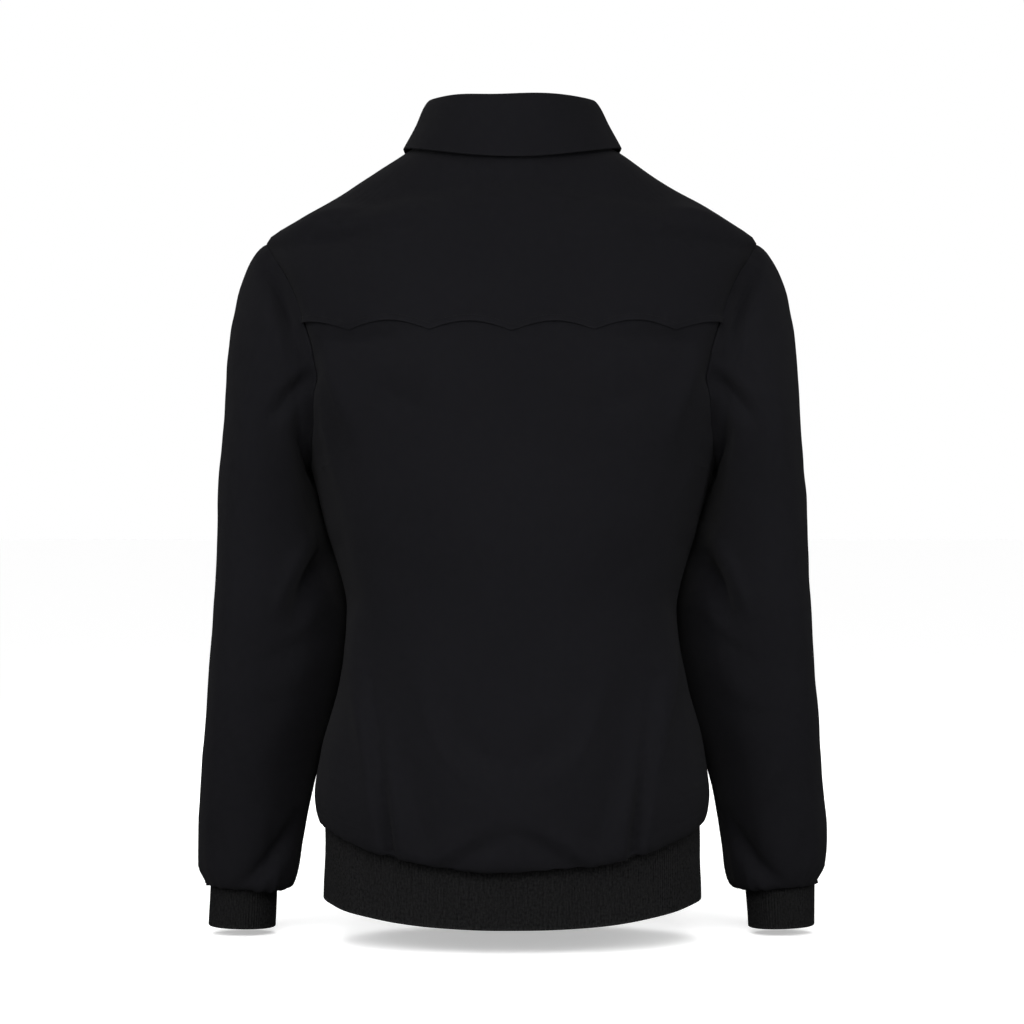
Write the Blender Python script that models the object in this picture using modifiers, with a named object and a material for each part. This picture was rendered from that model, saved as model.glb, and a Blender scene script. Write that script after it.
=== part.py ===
"""Harrington jacket: a short zip jacket of cotton twill with a ribbed hem and cuffs.

Metres, +Z up. The wearer faces -Y, so the wearer's left is at +X. The origin is on the middle
line at the nape, where the neck carries the collar. The cloth hangs as it does when worn, hollow
and filled out, with every panel a wall of real thickness.

Each panel is a grid of points on one of two surfaces. The body surface is a stack of rings that
runs from the neck seam down to the hem, and the sleeve surface is a stack of rings that turns
from the upright armhole to the level cuff. A wall is the grid and a copy of it set inwards.
"""

import math
from collections import namedtuple

import bmesh
import bpy
import numpy as np
from mathutils import Matrix, Vector

# ---------------------------------------------------------------- driving dimensions (metres)
GAP = 0.0003                # left between pieces that touch
CLOTH = 0.0016              # shell cloth with its turned edges
KNIT = 0.0022               # rib knit between the ribs
RIB_RAISE = 0.0008          # how far a rib stands out of the knit
COLLAR_CLOTH = 0.0019       # two layers of shell cloth and a thin interlining
TAPE = 0.0009               # woven zip tape

SHOULDER_HALF = 0.2135      # middle line to the shoulder point
NECK_HALF = 0.080           # middle line to the neck seam at the shoulder
CHEST_HALF = 0.177          # half the width just under the arms
WAIST_HALF = 0.1455         # half the width where the cloth falls in between the sleeves
BLOUSE_HALF = 0.1734        # half the width where the cloth bags over the hem rib
HEM_HALF = 0.1643           # half the width of the hem rib
SHOULDER_DOWN = 0.100       # neck seam to the shoulder point's ring, down the middle of the back
UNDERARM_DOWN = 0.282       # neck seam to the underarm's ring
HEM_SEAM_DOWN = 0.640       # neck seam to the seam of the hem rib
SEAM_HALF_GAP = GAP / 2
SLEEVE_CLEAR = 0.00045      # the sleeve's first ring stands this far out of the armhole
SLEEVE_PROUD = 0.0016       # and its head this far above the body's cloth, level with the yoke
SLEEVE_EASE = 0.150         # the armhole's shape fades out of the sleeve over this length

BACK_ARMHOLE_REACH = math.radians(35)    # how far the armhole eats into the back
FRONT_ARMHOLE_REACH = math.radians(41)   # and into the front, where a jacket is cut narrower
ARMHOLE_ROUNDNESS = 0.62

YOKE_CUSP_Z = -0.1595       # points of the scalloped yoke edge
YOKE_RISE = 0.0078          # height of each scallop above its points
YOKE_PITCH = 0.0695         # point to point
YOKE_DROOP = 0.0022         # the middle point hangs this much lower
YOKE_TOP_ROW = 0.25         # the yoke starts this share of a row below the neck seam
YOKE_CLOSE_ROWS = 0.15      # its last rows are at least this share of a row apart
YOKE_REST = 0.0008          # the yoke lies this far off the back
YOKE_LIFT = 0.0010          # and its free edge stands off by this much more
YOKE_LIFT_POWER = 6         # most of that is near the edge
YOKE_SIDE_INSET = 0.006     # share of the back's width that the yoke leaves at each armhole

ZIP_HALF_WIDTH = 0.0034     # half the strip of zip that shows between the fronts
TAPE_INNER_X = 0.0007
TAPE_OUTER_X = 0.0130
TAPE_RIB_DOWNS = (-0.0015, 0.0080, 0.0610)   # where the tape's rows lie on the hem rib
SLIDER_DOWN = 0.0165        # the closed slider's place on the front middle line
SLIDER_OUT = 0.0022         # the slider's middle stands this far out of the cloth
SLIDER_SIZE = (0.0088, 0.0024, 0.0130)       # across, out of the cloth, along the zip
SLIDER_EDGE = 0.0007        # rounding of the slider's edges
LUG_X = 0.0030
LUG_SIZE = (0.0012, 0.0040, 0.0040)
LUG_ROOT = 0.0003           # the lugs are sunk this far into the plate
LUG_EDGE = 0.0004
PIN_RADIUS = 0.0008
PIN_OUT = 0.0036            # the pin's distance from the slider's middle
PIN_Z = 0.0030
EYE_RADIUS = 0.0019
EYE_BORE = 0.0012
EYE_WIDTH = 0.0040
NECK_SIZE = (0.0034, 0.00104, 0.0024)        # joins the eye to the tab
NECK_ROOT = 0.0014          # the neck starts this far below the pin, inside the eye
PULL_TOP = 0.0032           # the tab's wide part starts this far below the pin
PULL_SIZE = (0.0062, 0.0013, 0.0240)
PULL_EDGE = 0.0005
SLOT_RADIUS = 0.0016        # the round hole near the tab's end
SLOT_Z = -0.0240
ZIP_BOX_SIZE = (0.0056, 0.0026, 0.0100)
ZIP_BOX_EDGE = 0.0006
ZIP_BOX_DOWN = 0.055        # its place on the hem rib
ZIP_BOX_OUT = 0.0016

FLAP_X = 0.088              # middle of a pocket flap
FLAP_Z = -0.452
FLAP_LENGTH = 0.140
FLAP_WIDTH = 0.046
FLAP_SLANT = math.radians(24)
FLAP_REST = 0.0011          # the flap lies this far off the front
FLAP_LIFT = 0.0010          # and its free edge stands off by this much more
FLAP_ROWS = 5
FLAP_COLUMNS = 12
FLAP_BUTTON_ACROSS = 0.011  # the button is this far from the flap's middle, towards its free edge

BUTTON_THICK = 0.0026
BUTTON_CLEAR = 0.0005
BUTTON_RIM = 0.0006
COLLAR_BUTTON_RADIUS = 0.0065
POCKET_BUTTON_RADIUS = 0.0075
COLLAR_BUTTON_ANGLE = math.radians(185)
COLLAR_BUTTON_DOWNS = (("collar_button_lower", 0.0125), ("collar_button_upper", 0.0295))

LAP_START = math.radians(166)                # where the stand's left end starts to step out
LAP_TURN = math.radians(14)                  # and the turn it takes to do so
STAND_RIGHT_END = math.radians(-178)
STAND_LEFT_END = math.radians(194)
FALL_END = math.radians(163)                 # the collar fall stops short of the front middle
FALL_SPREAD = math.radians(9)                # and its points spread back by this much

HEM_RIBS = 84               # raised ribs around the hem
CUFF_RIBS = 30              # raised ribs around each cuff

BACK_COLUMNS = 24
FRONT_COLUMNS = 10
SLEEVE_COLUMNS = 20         # even, so that one falls on the shoulder point and one underarm
YOKE_ROWS = 10
YOKE_COLUMNS = 48
STAND_COLUMNS = 32
FALL_COLUMNS = 30
SHOULDER_DOWNS = (0.0, 0.020, 0.042, 0.064, 0.084)
TRUNK_DOWNS = (0.308, 0.338, 0.370, 0.404, 0.438, 0.472, 0.506, 0.540, 0.568, 0.592)
BAG_DOWNS = (0.611, 0.621, 0.629, HEM_SEAM_DOWN)
SLEEVE_ALONGS = (
    0.0, 0.012, 0.028, 0.050, 0.080, 0.115, 0.150, 0.190, 0.230, 0.268, 0.304, 0.340,
    0.380, 0.430, 0.480, 0.520, 0.548, 0.564, 0.577, 0.586, 0.596,
)
STAND_DOWNS = (0.0, 0.014, 0.028, 0.042)
FALL_DOWNS = (0.0, 0.006, 0.011, 0.016, 0.028, 0.042, 0.056, 0.068)
SMOOTH_UNDER = math.radians(40)              # edges that turn less than this are shaded smooth

SEARCH_ROUNDS = 60          # rounds of the search for a place on a panel
SEARCH_START = 0.5          # it starts halfway down and across the panel
ROWS_PER_METRE = 15         # how far a miss of one metre moves the next guess
SHARES_PER_METRE = 4

JACKET_CLOTH = ((0.0085, 0.0085, 0.0100, 1.0), 0.85, 0.0)     # colour, roughness, metal
KNIT_YARN = ((0.0100, 0.0100, 0.0104, 1.0), 0.95, 0.0)
TAPE_YARN = ((0.0100, 0.0100, 0.0104, 1.0), 0.90, 0.0)
BUTTON_PLASTIC = ((0.0120, 0.0120, 0.0130, 1.0), 0.40, 0.0)
ZIP_METAL = ((0.0550, 0.0550, 0.0580, 1.0), 0.35, 0.9)

# ---------------------------------------------------------------- section tables
# A body ring: down is its distance from the neck seam down the middle of the back. Its side
# point is at (side_x, side_z), its middle back point at (back_y, back_z) and its middle front
# point at (front_y, front_z). Square is 2 for an ellipse and more for a boxier ring.
Ring = namedtuple("Ring", "name down side_x side_z back_y back_z front_y front_z square")
BODY_RINGS = [
    Ring("neck seam", 0.000, NECK_HALF, 0.007, 0.072, -0.004, -0.088, -0.072, 2.00),
    Ring("neck base", 0.020, 0.103, -0.007, 0.083, -0.021, -0.096, -0.092, 2.02),
    Ring("shoulder slope", 0.058, 0.1515, -0.0380, 0.101, -0.055, -0.109, -0.123, 2.10),
    Ring("shoulder end", 0.084, 0.1865, -0.0595, 0.1105, -0.080, -0.1165, -0.145, 2.42),
    Ring("shoulder point", SHOULDER_DOWN, SHOULDER_HALF, -0.0785, 0.115, -0.096, -0.120, -0.157, 2.10),
    Ring("across back", 0.160, 0.2130, -0.142, 0.1245, -0.156, -0.130, -0.198, 2.20),
    Ring("low armhole", 0.222, 0.2010, -0.212, 0.127, -0.218, -0.135, -0.240, 2.35),
    Ring("underarm", UNDERARM_DOWN, CHEST_HALF, -0.276, 0.126, -0.278, -0.137, -0.281, 2.35),
    Ring("rib cage", 0.338, 0.1615, -0.334, 0.124, -0.334, -0.136, -0.335, 2.30),
    Ring("waist", 0.404, WAIST_HALF, -0.400, 0.121, -0.400, -0.133, -0.400, 2.25),
    Ring("high hip", 0.472, 0.1530, -0.462, 0.122, -0.468, -0.132, -0.468, 2.25),
    Ring("bag", 0.540, 0.1690, -0.524, 0.127, -0.535, -0.134, -0.534, 2.30),
    Ring("widest bag", 0.585, BLOUSE_HALF, -0.560, 0.132, -0.580, -0.136, -0.574, 2.35),
    Ring("bag turns", 0.611, 0.1718, -0.574, 0.1315, -0.605, -0.1345, -0.594, 2.35),
    Ring("bag underside", 0.628, 0.1685, -0.5835, 0.1265, -0.6165, -0.1300, -0.6035, 2.35),
    Ring("hem seam", HEM_SEAM_DOWN, HEM_HALF + 0.0011, -0.5870, 0.1187, -0.6085, -0.1245, -0.6065, 2.35),
]
HEM_RINGS = [
    Ring("rib top", 0.000, HEM_HALF, -0.5885, 0.1172, -0.6060, -0.1230, -0.6070, 2.35),
    Ring("rib bottom", 0.062, HEM_HALF + 0.0012, -0.6520, 0.1185, -0.6670, -0.1232, -0.6640, 2.35),
]
STAND_RINGS = [
    Ring("stand foot", 0.000, NECK_HALF, 0.0074, 0.072, -0.0035, -0.088, -0.0715, 2.00),
    Ring("stand middle", 0.021, 0.0740, 0.0240, 0.066, 0.0170, -0.082, -0.0530, 2.00),
    Ring("stand top", 0.042, 0.0700, 0.0395, 0.0615, 0.0375, -0.078, -0.0350, 2.00),
]
FALL_RINGS = [
    Ring("roll inside", 0.000, 0.0682, 0.0404, 0.0597, 0.0384, -0.0762, -0.0341, 2.00),
    Ring("roll rises", 0.006, 0.0690, 0.0445, 0.0610, 0.0430, -0.0770, -0.0290, 2.00),
    Ring("roll top", 0.011, 0.0728, 0.0475, 0.0648, 0.0462, -0.0805, -0.0265, 2.00),
    Ring("roll outside", 0.016, 0.0764, 0.0440, 0.0688, 0.0435, -0.0850, -0.0290, 2.00),
    Ring("fall middle", 0.040, 0.0848, 0.0260, 0.0790, 0.0170, -0.0980, -0.0560, 2.00),
    Ring("fall edge", 0.068, 0.0950, 0.0075, 0.0880, -0.0105, -0.1140, -0.0930, 2.00),
]

# A sleeve ring: along is its distance from the armhole. It is a flat loop through an outer point
# at (outer_x, outer_z) and an inner point at (inner_x, inner_z), half_depth deep each way in Y.
# Skew carries the outer point back and the inner point forward, as an arm turns in its sleeve.
Loop = namedtuple("Loop", "name along outer_x outer_z inner_x inner_z middle_y half_depth skew square")
SLEEVE_LOOPS = [
    Loop("armhole", 0.000, 0.2135, -0.0785, 0.1770, -0.2760, 0.000, 0.080, 0.000, 2.0),
    Loop("cap crown", 0.012, 0.2215, -0.0860, 0.1790, -0.2785, 0.000, 0.081, 0.003, 2.0),
    Loop("cap turns", 0.028, 0.2305, -0.1020, 0.1785, -0.2825, -0.001, 0.082, 0.008, 2.0),
    Loop("cap side", 0.048, 0.2390, -0.1260, 0.1765, -0.2880, -0.002, 0.082, 0.014, 2.0),
    Loop("cap foot", 0.078, 0.2450, -0.1580, 0.1728, -0.2960, -0.003, 0.081, 0.020, 2.05),
    Loop("upper arm", 0.122, 0.2487, -0.2030, 0.1685, -0.3070, -0.005, 0.079, 0.025, 2.1),
    Loop("biceps", 0.170, 0.2518, -0.2500, 0.1637, -0.3230, -0.007, 0.076, 0.028, 2.1),
    Loop("above elbow", 0.230, 0.2555, -0.3050, 0.1545, -0.3520, -0.010, 0.071, 0.030, 2.1),
    Loop("elbow", 0.300, 0.2590, -0.3720, 0.1432, -0.3930, -0.012, 0.065, 0.032, 2.1),
    Loop("below elbow", 0.365, 0.2635, -0.4350, 0.1464, -0.4430, -0.016, 0.060, 0.030, 2.1),
    Loop("forearm", 0.430, 0.2687, -0.5000, 0.1600, -0.5010, -0.022, 0.056, 0.025, 2.1),
    Loop("low forearm", 0.490, 0.2742, -0.5580, 0.1772, -0.5560, -0.029, 0.052, 0.014, 2.1),
    Loop("sleeve bag", 0.540, 0.2786, -0.6080, 0.1862, -0.6060, -0.035, 0.049, 0.005, 2.15),
    Loop("bag low", 0.562, 0.2778, -0.6285, 0.1895, -0.6310, -0.037, 0.046, 0.002, 2.15),
    Loop("bag turns", 0.577, 0.2712, -0.6425, 0.1950, -0.6470, -0.038, 0.041, 0.000, 2.1),
    Loop("bag underside", 0.586, 0.2710, -0.6445, 0.2020, -0.6495, -0.038, 0.0355, 0.000, 2.1),
    Loop("cuff seam", 0.596, 0.2700, -0.6370, 0.2070, -0.6410, -0.0385, 0.0322, 0.000, 2.1),
]
CUFF_LOOPS = [
    Loop("cuff top", 0.000, 0.2688, -0.6355, 0.2082, -0.6395, -0.0385, 0.0310, 0.000, 2.1),
    Loop("cuff bottom", 0.048, 0.2705, -0.6820, 0.2110, -0.6840, -0.0415, 0.0306, 0.000, 2.1),
]

# A fold is a soft ridge, or a trough where its height is negative, along a curve that is drawn
# as seen from straight behind or in front. Both sides of the jacket have it.
Fold = namedtuple("Fold", "name face start bend end width height")
BEHIND = 1
BEFORE = -1
FOLDS = [
    Fold("back shoulder trough", BEHIND, (0.182, -0.086), (0.139, -0.094), (0.094, -0.090), 0.014, -0.0028),
    Fold("yoke shadow", BEHIND, (0.170, -0.185), (0.140, -0.166), (0.090, -0.170), 0.013, -0.0026),
    Fold("back side fold", BEHIND, (0.139, -0.415), (0.124, -0.500), (0.100, -0.600), 0.016, 0.0040),
    Fold("back side hollow", BEHIND, (0.112, -0.440), (0.098, -0.520), (0.072, -0.602), 0.018, -0.0030),
    Fold("back drape", BEHIND, (0.080, -0.500), (0.066, -0.545), (0.012, -0.566), 0.016, 0.0030),
    Fold("back hem peak", BEHIND, (0.000, -0.572), (0.018, -0.590), (0.048, -0.612), 0.013, -0.0030),
    Fold("sleeve pull", BEHIND, (0.184, -0.186), (0.197, -0.208), (0.216, -0.232), 0.012, -0.0030),
    Fold("elbow fold", BEHIND, (0.160, -0.345), (0.178, -0.372), (0.192, -0.408), 0.013, -0.0042),
    Fold("cuff fold", BEHIND, (0.203, -0.585), (0.202, -0.618), (0.232, -0.638), 0.012, -0.0036),
    Fold("chest pull", BEFORE, (0.172, -0.205), (0.140, -0.222), (0.092, -0.215), 0.016, -0.0026),
    Fold("front side fold", BEFORE, (0.136, -0.470), (0.126, -0.530), (0.112, -0.594), 0.016, 0.0032),
    Fold("front hollow", BEFORE, (0.052, -0.470), (0.048, -0.530), (0.040, -0.588), 0.016, -0.0026),
    Fold("front sleeve pull", BEFORE, (0.180, -0.205), (0.196, -0.232), (0.220, -0.252), 0.012, -0.0030),
    Fold("inner elbow crease", BEFORE, (0.164, -0.372), (0.200, -0.392), (0.246, -0.384), 0.013, -0.0044),
    Fold("second elbow crease", BEFORE, (0.170, -0.432), (0.204, -0.446), (0.240, -0.430), 0.013, -0.0034),
    Fold("front cuff fold", BEFORE, (0.206, -0.590), (0.222, -0.622), (0.252, -0.632), 0.012, -0.0034),
]
FOLD_SAMPLES = 13
FOLD_END_SHARE = 0.35       # what is left of a fold's height at its ends


# ---------------------------------------------------------------- reading the tables
def column(table, name):
    """One column of a section table, as an array."""
    return np.array([getattr(row, name) for row in table])


def read_between(position, knots, values):
    """Read a column between its rows, with a cubic that does not overshoot them."""
    widths = np.diff(knots)
    slopes = np.diff(values) / widths
    product = slopes[:-1] * slopes[1:]
    harmonic = 2 * product / np.where(product > 0, slopes[:-1] + slopes[1:], 1.0)
    tangents = np.concatenate([slopes[:1], np.where(product > 0, harmonic, 0.0), slopes[-1:]])
    index = np.clip(np.searchsorted(knots, position) - 1, 0, len(widths) - 1)
    width = widths[index]
    part = (position - knots[index]) / width
    rest = 1 - part
    start = rest * rest * (1 + 2 * part) * values[index] + part * rest * rest * width * tangents[index]
    end = part * part * (3 - 2 * part) * values[index + 1]
    return start + end - part * part * rest * width * tangents[index + 1]


def rounded(value, power):
    """A cosine or sine raised to a power with its sign kept, which makes a circle squarer."""
    return np.sign(value) * np.abs(value) ** power


def ring_points(rings, down, angle):
    """Points of a body surface; angle is 0 at the middle back, 90 degrees at the left side."""
    knots = column(rings, "down")
    side_x, side_z, back_y, back_z, front_y, front_z, square = (
        read_between(down, knots, column(rings, name)) for name in Ring._fields[2:]
    )
    sine = np.sin(angle)
    cosine = np.cos(angle)
    power = 2 / square
    reach_y = np.where(cosine >= 0, back_y, front_y)
    reach_z = np.where(cosine >= 0, back_z, front_z)
    x = side_x * rounded(sine, power)
    y = reach_y * np.abs(cosine) ** power
    z = side_z + (reach_z - side_z) * cosine * cosine
    return np.stack([x, y, z], axis=-1)


def body_surface(down, angle):
    return ring_points(BODY_RINGS, down, angle)


def loop_points(loops, along, angle):
    """Points of a left sleeve; angle is 0 at the outer side, 90 degrees behind."""
    knots = column(loops, "along")
    outer_x, outer_z, inner_x, inner_z, middle_y, half_depth, skew, square = (
        read_between(along, knots, column(loops, name)) for name in Loop._fields[2:]
    )
    across = rounded(np.cos(angle), 2 / square)
    deep = rounded(np.sin(angle), 2 / square)
    x = (outer_x + inner_x) / 2 + (outer_x - inner_x) / 2 * across
    z = (outer_z + inner_z) / 2 + (outer_z - inner_z) / 2 * across
    return np.stack([x, middle_y + half_depth * deep + skew * across, z], axis=-1)


# ---------------------------------------------------------------- the armhole
def armhole_part(down):
    """0 at the shoulder point, 1 at the underarm."""
    return np.clip((down - SHOULDER_DOWN) / (UNDERARM_DOWN - SHOULDER_DOWN), 0, 1)


def armhole_reach(down, reach):
    """Angle by which the armhole eats into a panel at a ring."""
    return reach * np.abs(np.sin(math.pi * armhole_part(down))) ** ARMHOLE_ROUNDNESS


def armhole_place(turn):
    """Where the armhole's edge is; turn is 0 at the shoulder point, 90 degrees behind."""
    part = (1 - np.cos(turn)) / 2
    down = SHOULDER_DOWN + part * (UNDERARM_DOWN - SHOULDER_DOWN)
    behind = math.pi / 2 - armhole_reach(down, BACK_ARMHOLE_REACH)
    before = math.pi / 2 + armhole_reach(down, FRONT_ARMHOLE_REACH)
    return down, np.where(np.sin(turn) >= 0, behind, before)


def armhole_loop(turn):
    """The armhole's edge on the body surface."""
    return body_surface(*armhole_place(turn))


def armhole_normal(turn):
    """The body's outward direction along the armhole, fading out under the arm."""
    fade = (1 + np.cos(turn))[..., None] / 2
    return surface_normals(body_surface, *armhole_place(turn)) * fade


def sleeve_surface(along, angle):
    """The left sleeve: the armhole's own edge, raised a little, that eases into the table's loops."""
    head = armhole_loop(angle) + SLEEVE_PROUD * armhole_normal(angle)
    misfit = head - loop_points(SLEEVE_LOOPS, np.zeros_like(along), angle)
    fade = np.clip(1 - along / SLEEVE_EASE, 0, 1)[..., None]
    points = loop_points(SLEEVE_LOOPS, along, angle) + misfit * fade * fade * (3 - 2 * fade)
    return points + np.array([SLEEVE_CLEAR, 0, 0])


# ---------------------------------------------------------------- folds and normals
def fold_heights(points, normals):
    """How far the folds raise each point of a surface."""
    height = np.zeros(points.shape[:-1])
    step = np.linspace(0, 1, FOLD_SAMPLES)
    for fold in FOLDS:
        start, bend, end = (np.array(spot) for spot in (fold.start, fold.bend, fold.end))
        first = ((1 - step) ** 2)[:, None] * start
        curve = first + (2 * step * (1 - step))[:, None] * bend + (step ** 2)[:, None] * end
        flat = np.stack([np.abs(points[..., 0]), points[..., 2]], axis=-1)
        distance = np.linalg.norm(flat[..., None, :] - curve, axis=-1)
        nearest = distance.argmin(axis=-1)
        taper = FOLD_END_SHARE + (1 - FOLD_END_SHARE) * np.sin(math.pi * step[nearest])
        facing = np.clip(normals[..., 1] * fold.face * 2, 0, 1)
        height += fold.height * taper * facing * np.exp(-(distance.min(axis=-1) / fold.width) ** 2)
    return height


def surface_normals(surface, first, second, step=0.0015):
    """Outward unit normals of a surface function of two values."""
    along_first = surface(first + step, second) - surface(first - step, second)
    along_second = surface(first, second + step) - surface(first, second - step)
    normals = np.cross(along_second, along_first)
    return normals / np.linalg.norm(normals, axis=-1, keepdims=True)


def wall_points(surface, first, second, thickness, lift=0.0, flip=1, folded=True):
    """The outer and inner points of a wall on a surface, lifted off it by a height."""
    base = surface(first, second)
    normals = flip * surface_normals(surface, first, second)
    height = lift + (fold_heights(base, normals) if folded else 0.0)
    height = np.broadcast_to(height, base.shape[:-1])[..., None]
    return base + normals * height, base + normals * (height - thickness)


# ---------------------------------------------------------------- meshes and objects
def clear_scene():
    for thing in list(bpy.data.objects):
        bpy.data.objects.remove(thing)


def new_collection(name):
    collection = bpy.data.collections.new(name)
    bpy.context.scene.collection.children.link(collection)
    return collection


def new_material(name, finish):
    color, roughness, metallic = finish
    material = bpy.data.materials.new(name)
    material.use_nodes = True
    shader = material.node_tree.nodes["Principled BSDF"]
    shader.inputs["Base Color"].default_value = color
    shader.inputs["Roughness"].default_value = roughness
    shader.inputs["Metallic"].default_value = metallic
    material.diffuse_color = color
    return material


def new_object(collection, name, mesh, finish=None):
    """An object in a collection; a cutting tool has no finish."""
    thing = bpy.data.objects.new(name, mesh)
    collection.objects.link(thing)
    if finish:
        mesh.materials.append(new_material(name + "_finish", finish))
    return thing


def wall_mesh(name, outer, inner, closed=False):
    """A closed wall between two grids of points; closed joins the last column to the first."""
    rows, columns = outer.shape[:2]
    mesh = bpy.data.meshes.new(name)
    shape = bmesh.new()
    skins = [[[shape.verts.new(point) for point in row] for row in skin] for skin in (outer, inner)]
    outside, inside = skins
    spans = [(i, (i + 1) % columns) for i in range(columns if closed else columns - 1)]
    for row in range(rows - 1):
        for left, right in spans:
            below = row + 1
            upper, lower = outside[row], outside[below]
            shape.faces.new([upper[left], lower[left], lower[right], upper[right]])
            upper, lower = inside[row], inside[below]
            shape.faces.new([upper[left], upper[right], lower[right], lower[left]])
    for left, right in spans:
        shape.faces.new([outside[0][left], outside[0][right], inside[0][right], inside[0][left]])
        shape.faces.new([outside[-1][right], outside[-1][left], inside[-1][left], inside[-1][right]])
    if not closed:
        for row in range(rows - 1):
            below = row + 1
            shape.faces.new([outside[below][0], outside[row][0], inside[row][0], inside[below][0]])
            shape.faces.new([outside[row][-1], outside[below][-1], inside[below][-1], inside[row][-1]])
    bmesh.ops.recalc_face_normals(shape, faces=shape.faces)
    bmesh.ops.triangulate(shape, faces=shape.faces, quad_method="SHORT_EDGE")
    shape.to_mesh(mesh)
    shape.free()
    mesh.shade_smooth()
    mesh.set_sharp_from_angle(angle=SMOOTH_UNDER)
    return mesh


def add_wall(collection, name, walls, finish, closed=False):
    outer, inner = walls
    new_object(collection, name, wall_mesh(name, outer, inner, closed), finish)


def add_pair(collection, name, walls, finish, closed=False):
    """A wall on the wearer's left and its mirror image on the right."""
    add_wall(collection, name + "_left", walls, finish, closed)
    add_wall(collection, name + "_right", mirrored(walls), finish, closed)


def mirrored(walls):
    """The same wall on the wearer's right."""
    return tuple(skin * np.array([-1, 1, 1]) for skin in walls)


# ---------------------------------------------------------------- body panels
def panel_downs():
    """Rows of the body panels; those along the armhole meet the sleeve's columns."""
    turn = np.linspace(0, math.pi, SLEEVE_COLUMNS // 2 + 1)
    armhole = SHOULDER_DOWN + (1 - np.cos(turn)) / 2 * (UNDERARM_DOWN - SHOULDER_DOWN)
    return np.concatenate([SHOULDER_DOWNS, armhole, TRUNK_DOWNS, BAG_DOWNS])


def angle_to_reach(size, half_size, square):
    """Angle from an axis of a ring to where the ring is a given distance off that axis."""
    return np.arcsin((size / half_size) ** (square / 2))


def side_angle(down, reach, depth_name):
    """Angle between the side line and a panel's edge: a seam's gap, or the armhole."""
    knots = column(BODY_RINGS, "down")
    depth = np.abs(read_between(down, knots, column(BODY_RINGS, depth_name)))
    square = read_between(down, knots, column(BODY_RINGS, "square"))
    return np.maximum(angle_to_reach(SEAM_HALF_GAP, depth, square), armhole_reach(down, reach))


def zip_angle(down, rings=BODY_RINGS, offset=ZIP_HALF_WIDTH):
    """Angle between the front middle line and the edge of the zip strip."""
    knots = column(rings, "down")
    half_width = read_between(down, knots, column(rings, "side_x"))
    square = read_between(down, knots, column(rings, "square"))
    return angle_to_reach(offset, half_width, square)


def build_back(collection):
    downs = panel_downs()
    edge = math.pi / 2 - side_angle(downs, BACK_ARMHOLE_REACH, "back_y")
    share = np.linspace(-1, 1, BACK_COLUMNS + 1)
    down = np.repeat(downs[:, None], len(share), axis=1)
    walls = wall_points(body_surface, down, edge[:, None] * share, CLOTH)
    add_wall(collection, "back", walls, JACKET_CLOTH)
    return walls


def build_fronts(collection):
    downs = panel_downs()
    start = math.pi / 2 + side_angle(downs, FRONT_ARMHOLE_REACH, "front_y")
    end = math.pi - zip_angle(downs)
    share = np.linspace(0, 1, FRONT_COLUMNS + 1)
    down = np.repeat(downs[:, None], len(share), axis=1)
    angle = start[:, None] + (end - start)[:, None] * share
    walls = wall_points(body_surface, down, angle, CLOTH)
    add_pair(collection, "front", walls, JACKET_CLOTH)
    return walls


def read_grid(grid, row, share_along_row):
    """Points of a panel's own grid between its rows and columns, so that what lies on it fits."""
    last_row, last_column = np.array(grid.shape[:2]) - 1
    column_place = share_along_row * last_column
    top = np.clip(np.floor(row).astype(int), 0, last_row - 1)
    left = np.clip(np.floor(column_place).astype(int), 0, last_column - 1)
    down_part = (row - top)[..., None]
    side_part = (column_place - left)[..., None]
    upper = grid[top, left] * (1 - side_part) + grid[top, left + 1] * side_part
    lower = grid[top + 1, left] * (1 - side_part) + grid[top + 1, left + 1] * side_part
    return upper * (1 - down_part) + lower * down_part


def lying_on(panel, row, share, lift, thickness):
    """A wall that lies on a panel: the panel's outer points, moved out along its own thickness."""
    outer, inner = (read_grid(skin, row, share) for skin in panel)
    outward = outer - inner
    outward /= np.linalg.norm(outward, axis=-1, keepdims=True)
    lift = np.broadcast_to(lift, row.shape)[..., None]
    return outer + outward * (lift + thickness), outer + outward * lift


def scallop_z(x):
    """Height of the yoke's free edge: rounded arches that meet in points."""
    droop = YOKE_DROOP * np.exp(-((x / YOKE_PITCH) ** 2))
    return YOKE_CUSP_Z - droop + YOKE_RISE * np.abs(np.sin(math.pi * x / YOKE_PITCH))


def rows_to_edge(edge_row, count):
    """The panel's own rows down to an edge that wanders between them, the last ones closed up."""
    step = np.arange(count + 1)[:, None]
    return np.minimum(step, edge_row[None, :] - YOKE_CLOSE_ROWS * (count - step))


def build_back_yoke(collection, back):
    share = np.linspace(0, 1, YOKE_COLUMNS + 1)
    share[0] = YOKE_SIDE_INSET
    share[-1] = 1 - YOKE_SIDE_INSET
    edge_row = SEARCH_START * len(back[0]) * np.ones_like(share)
    for _ in range(SEARCH_ROUNDS):
        spot = read_grid(back[0], edge_row, share)
        edge_row = edge_row + (spot[:, 2] - scallop_z(spot[:, 0])) * ROWS_PER_METRE
    row = rows_to_edge(edge_row, YOKE_ROWS)
    row[0] = YOKE_TOP_ROW
    lift = YOKE_REST + YOKE_LIFT * np.linspace(0, 1, YOKE_ROWS + 1)[:, None] ** YOKE_LIFT_POWER
    walls = lying_on(back, row, np.broadcast_to(share, row.shape), lift, CLOTH)
    add_wall(collection, "back_yoke", walls, JACKET_CLOTH)


# ---------------------------------------------------------------- sleeves and cuffs
def build_sleeves(collection):
    angles = np.linspace(0, 2 * math.pi, SLEEVE_COLUMNS, endpoint=False)
    along, angle = np.meshgrid(SLEEVE_ALONGS, angles, indexing="ij")
    walls = wall_points(sleeve_surface, along, angle, CLOTH, flip=-1)
    add_pair(collection, "sleeve", walls, JACKET_CLOTH, closed=True)


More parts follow.
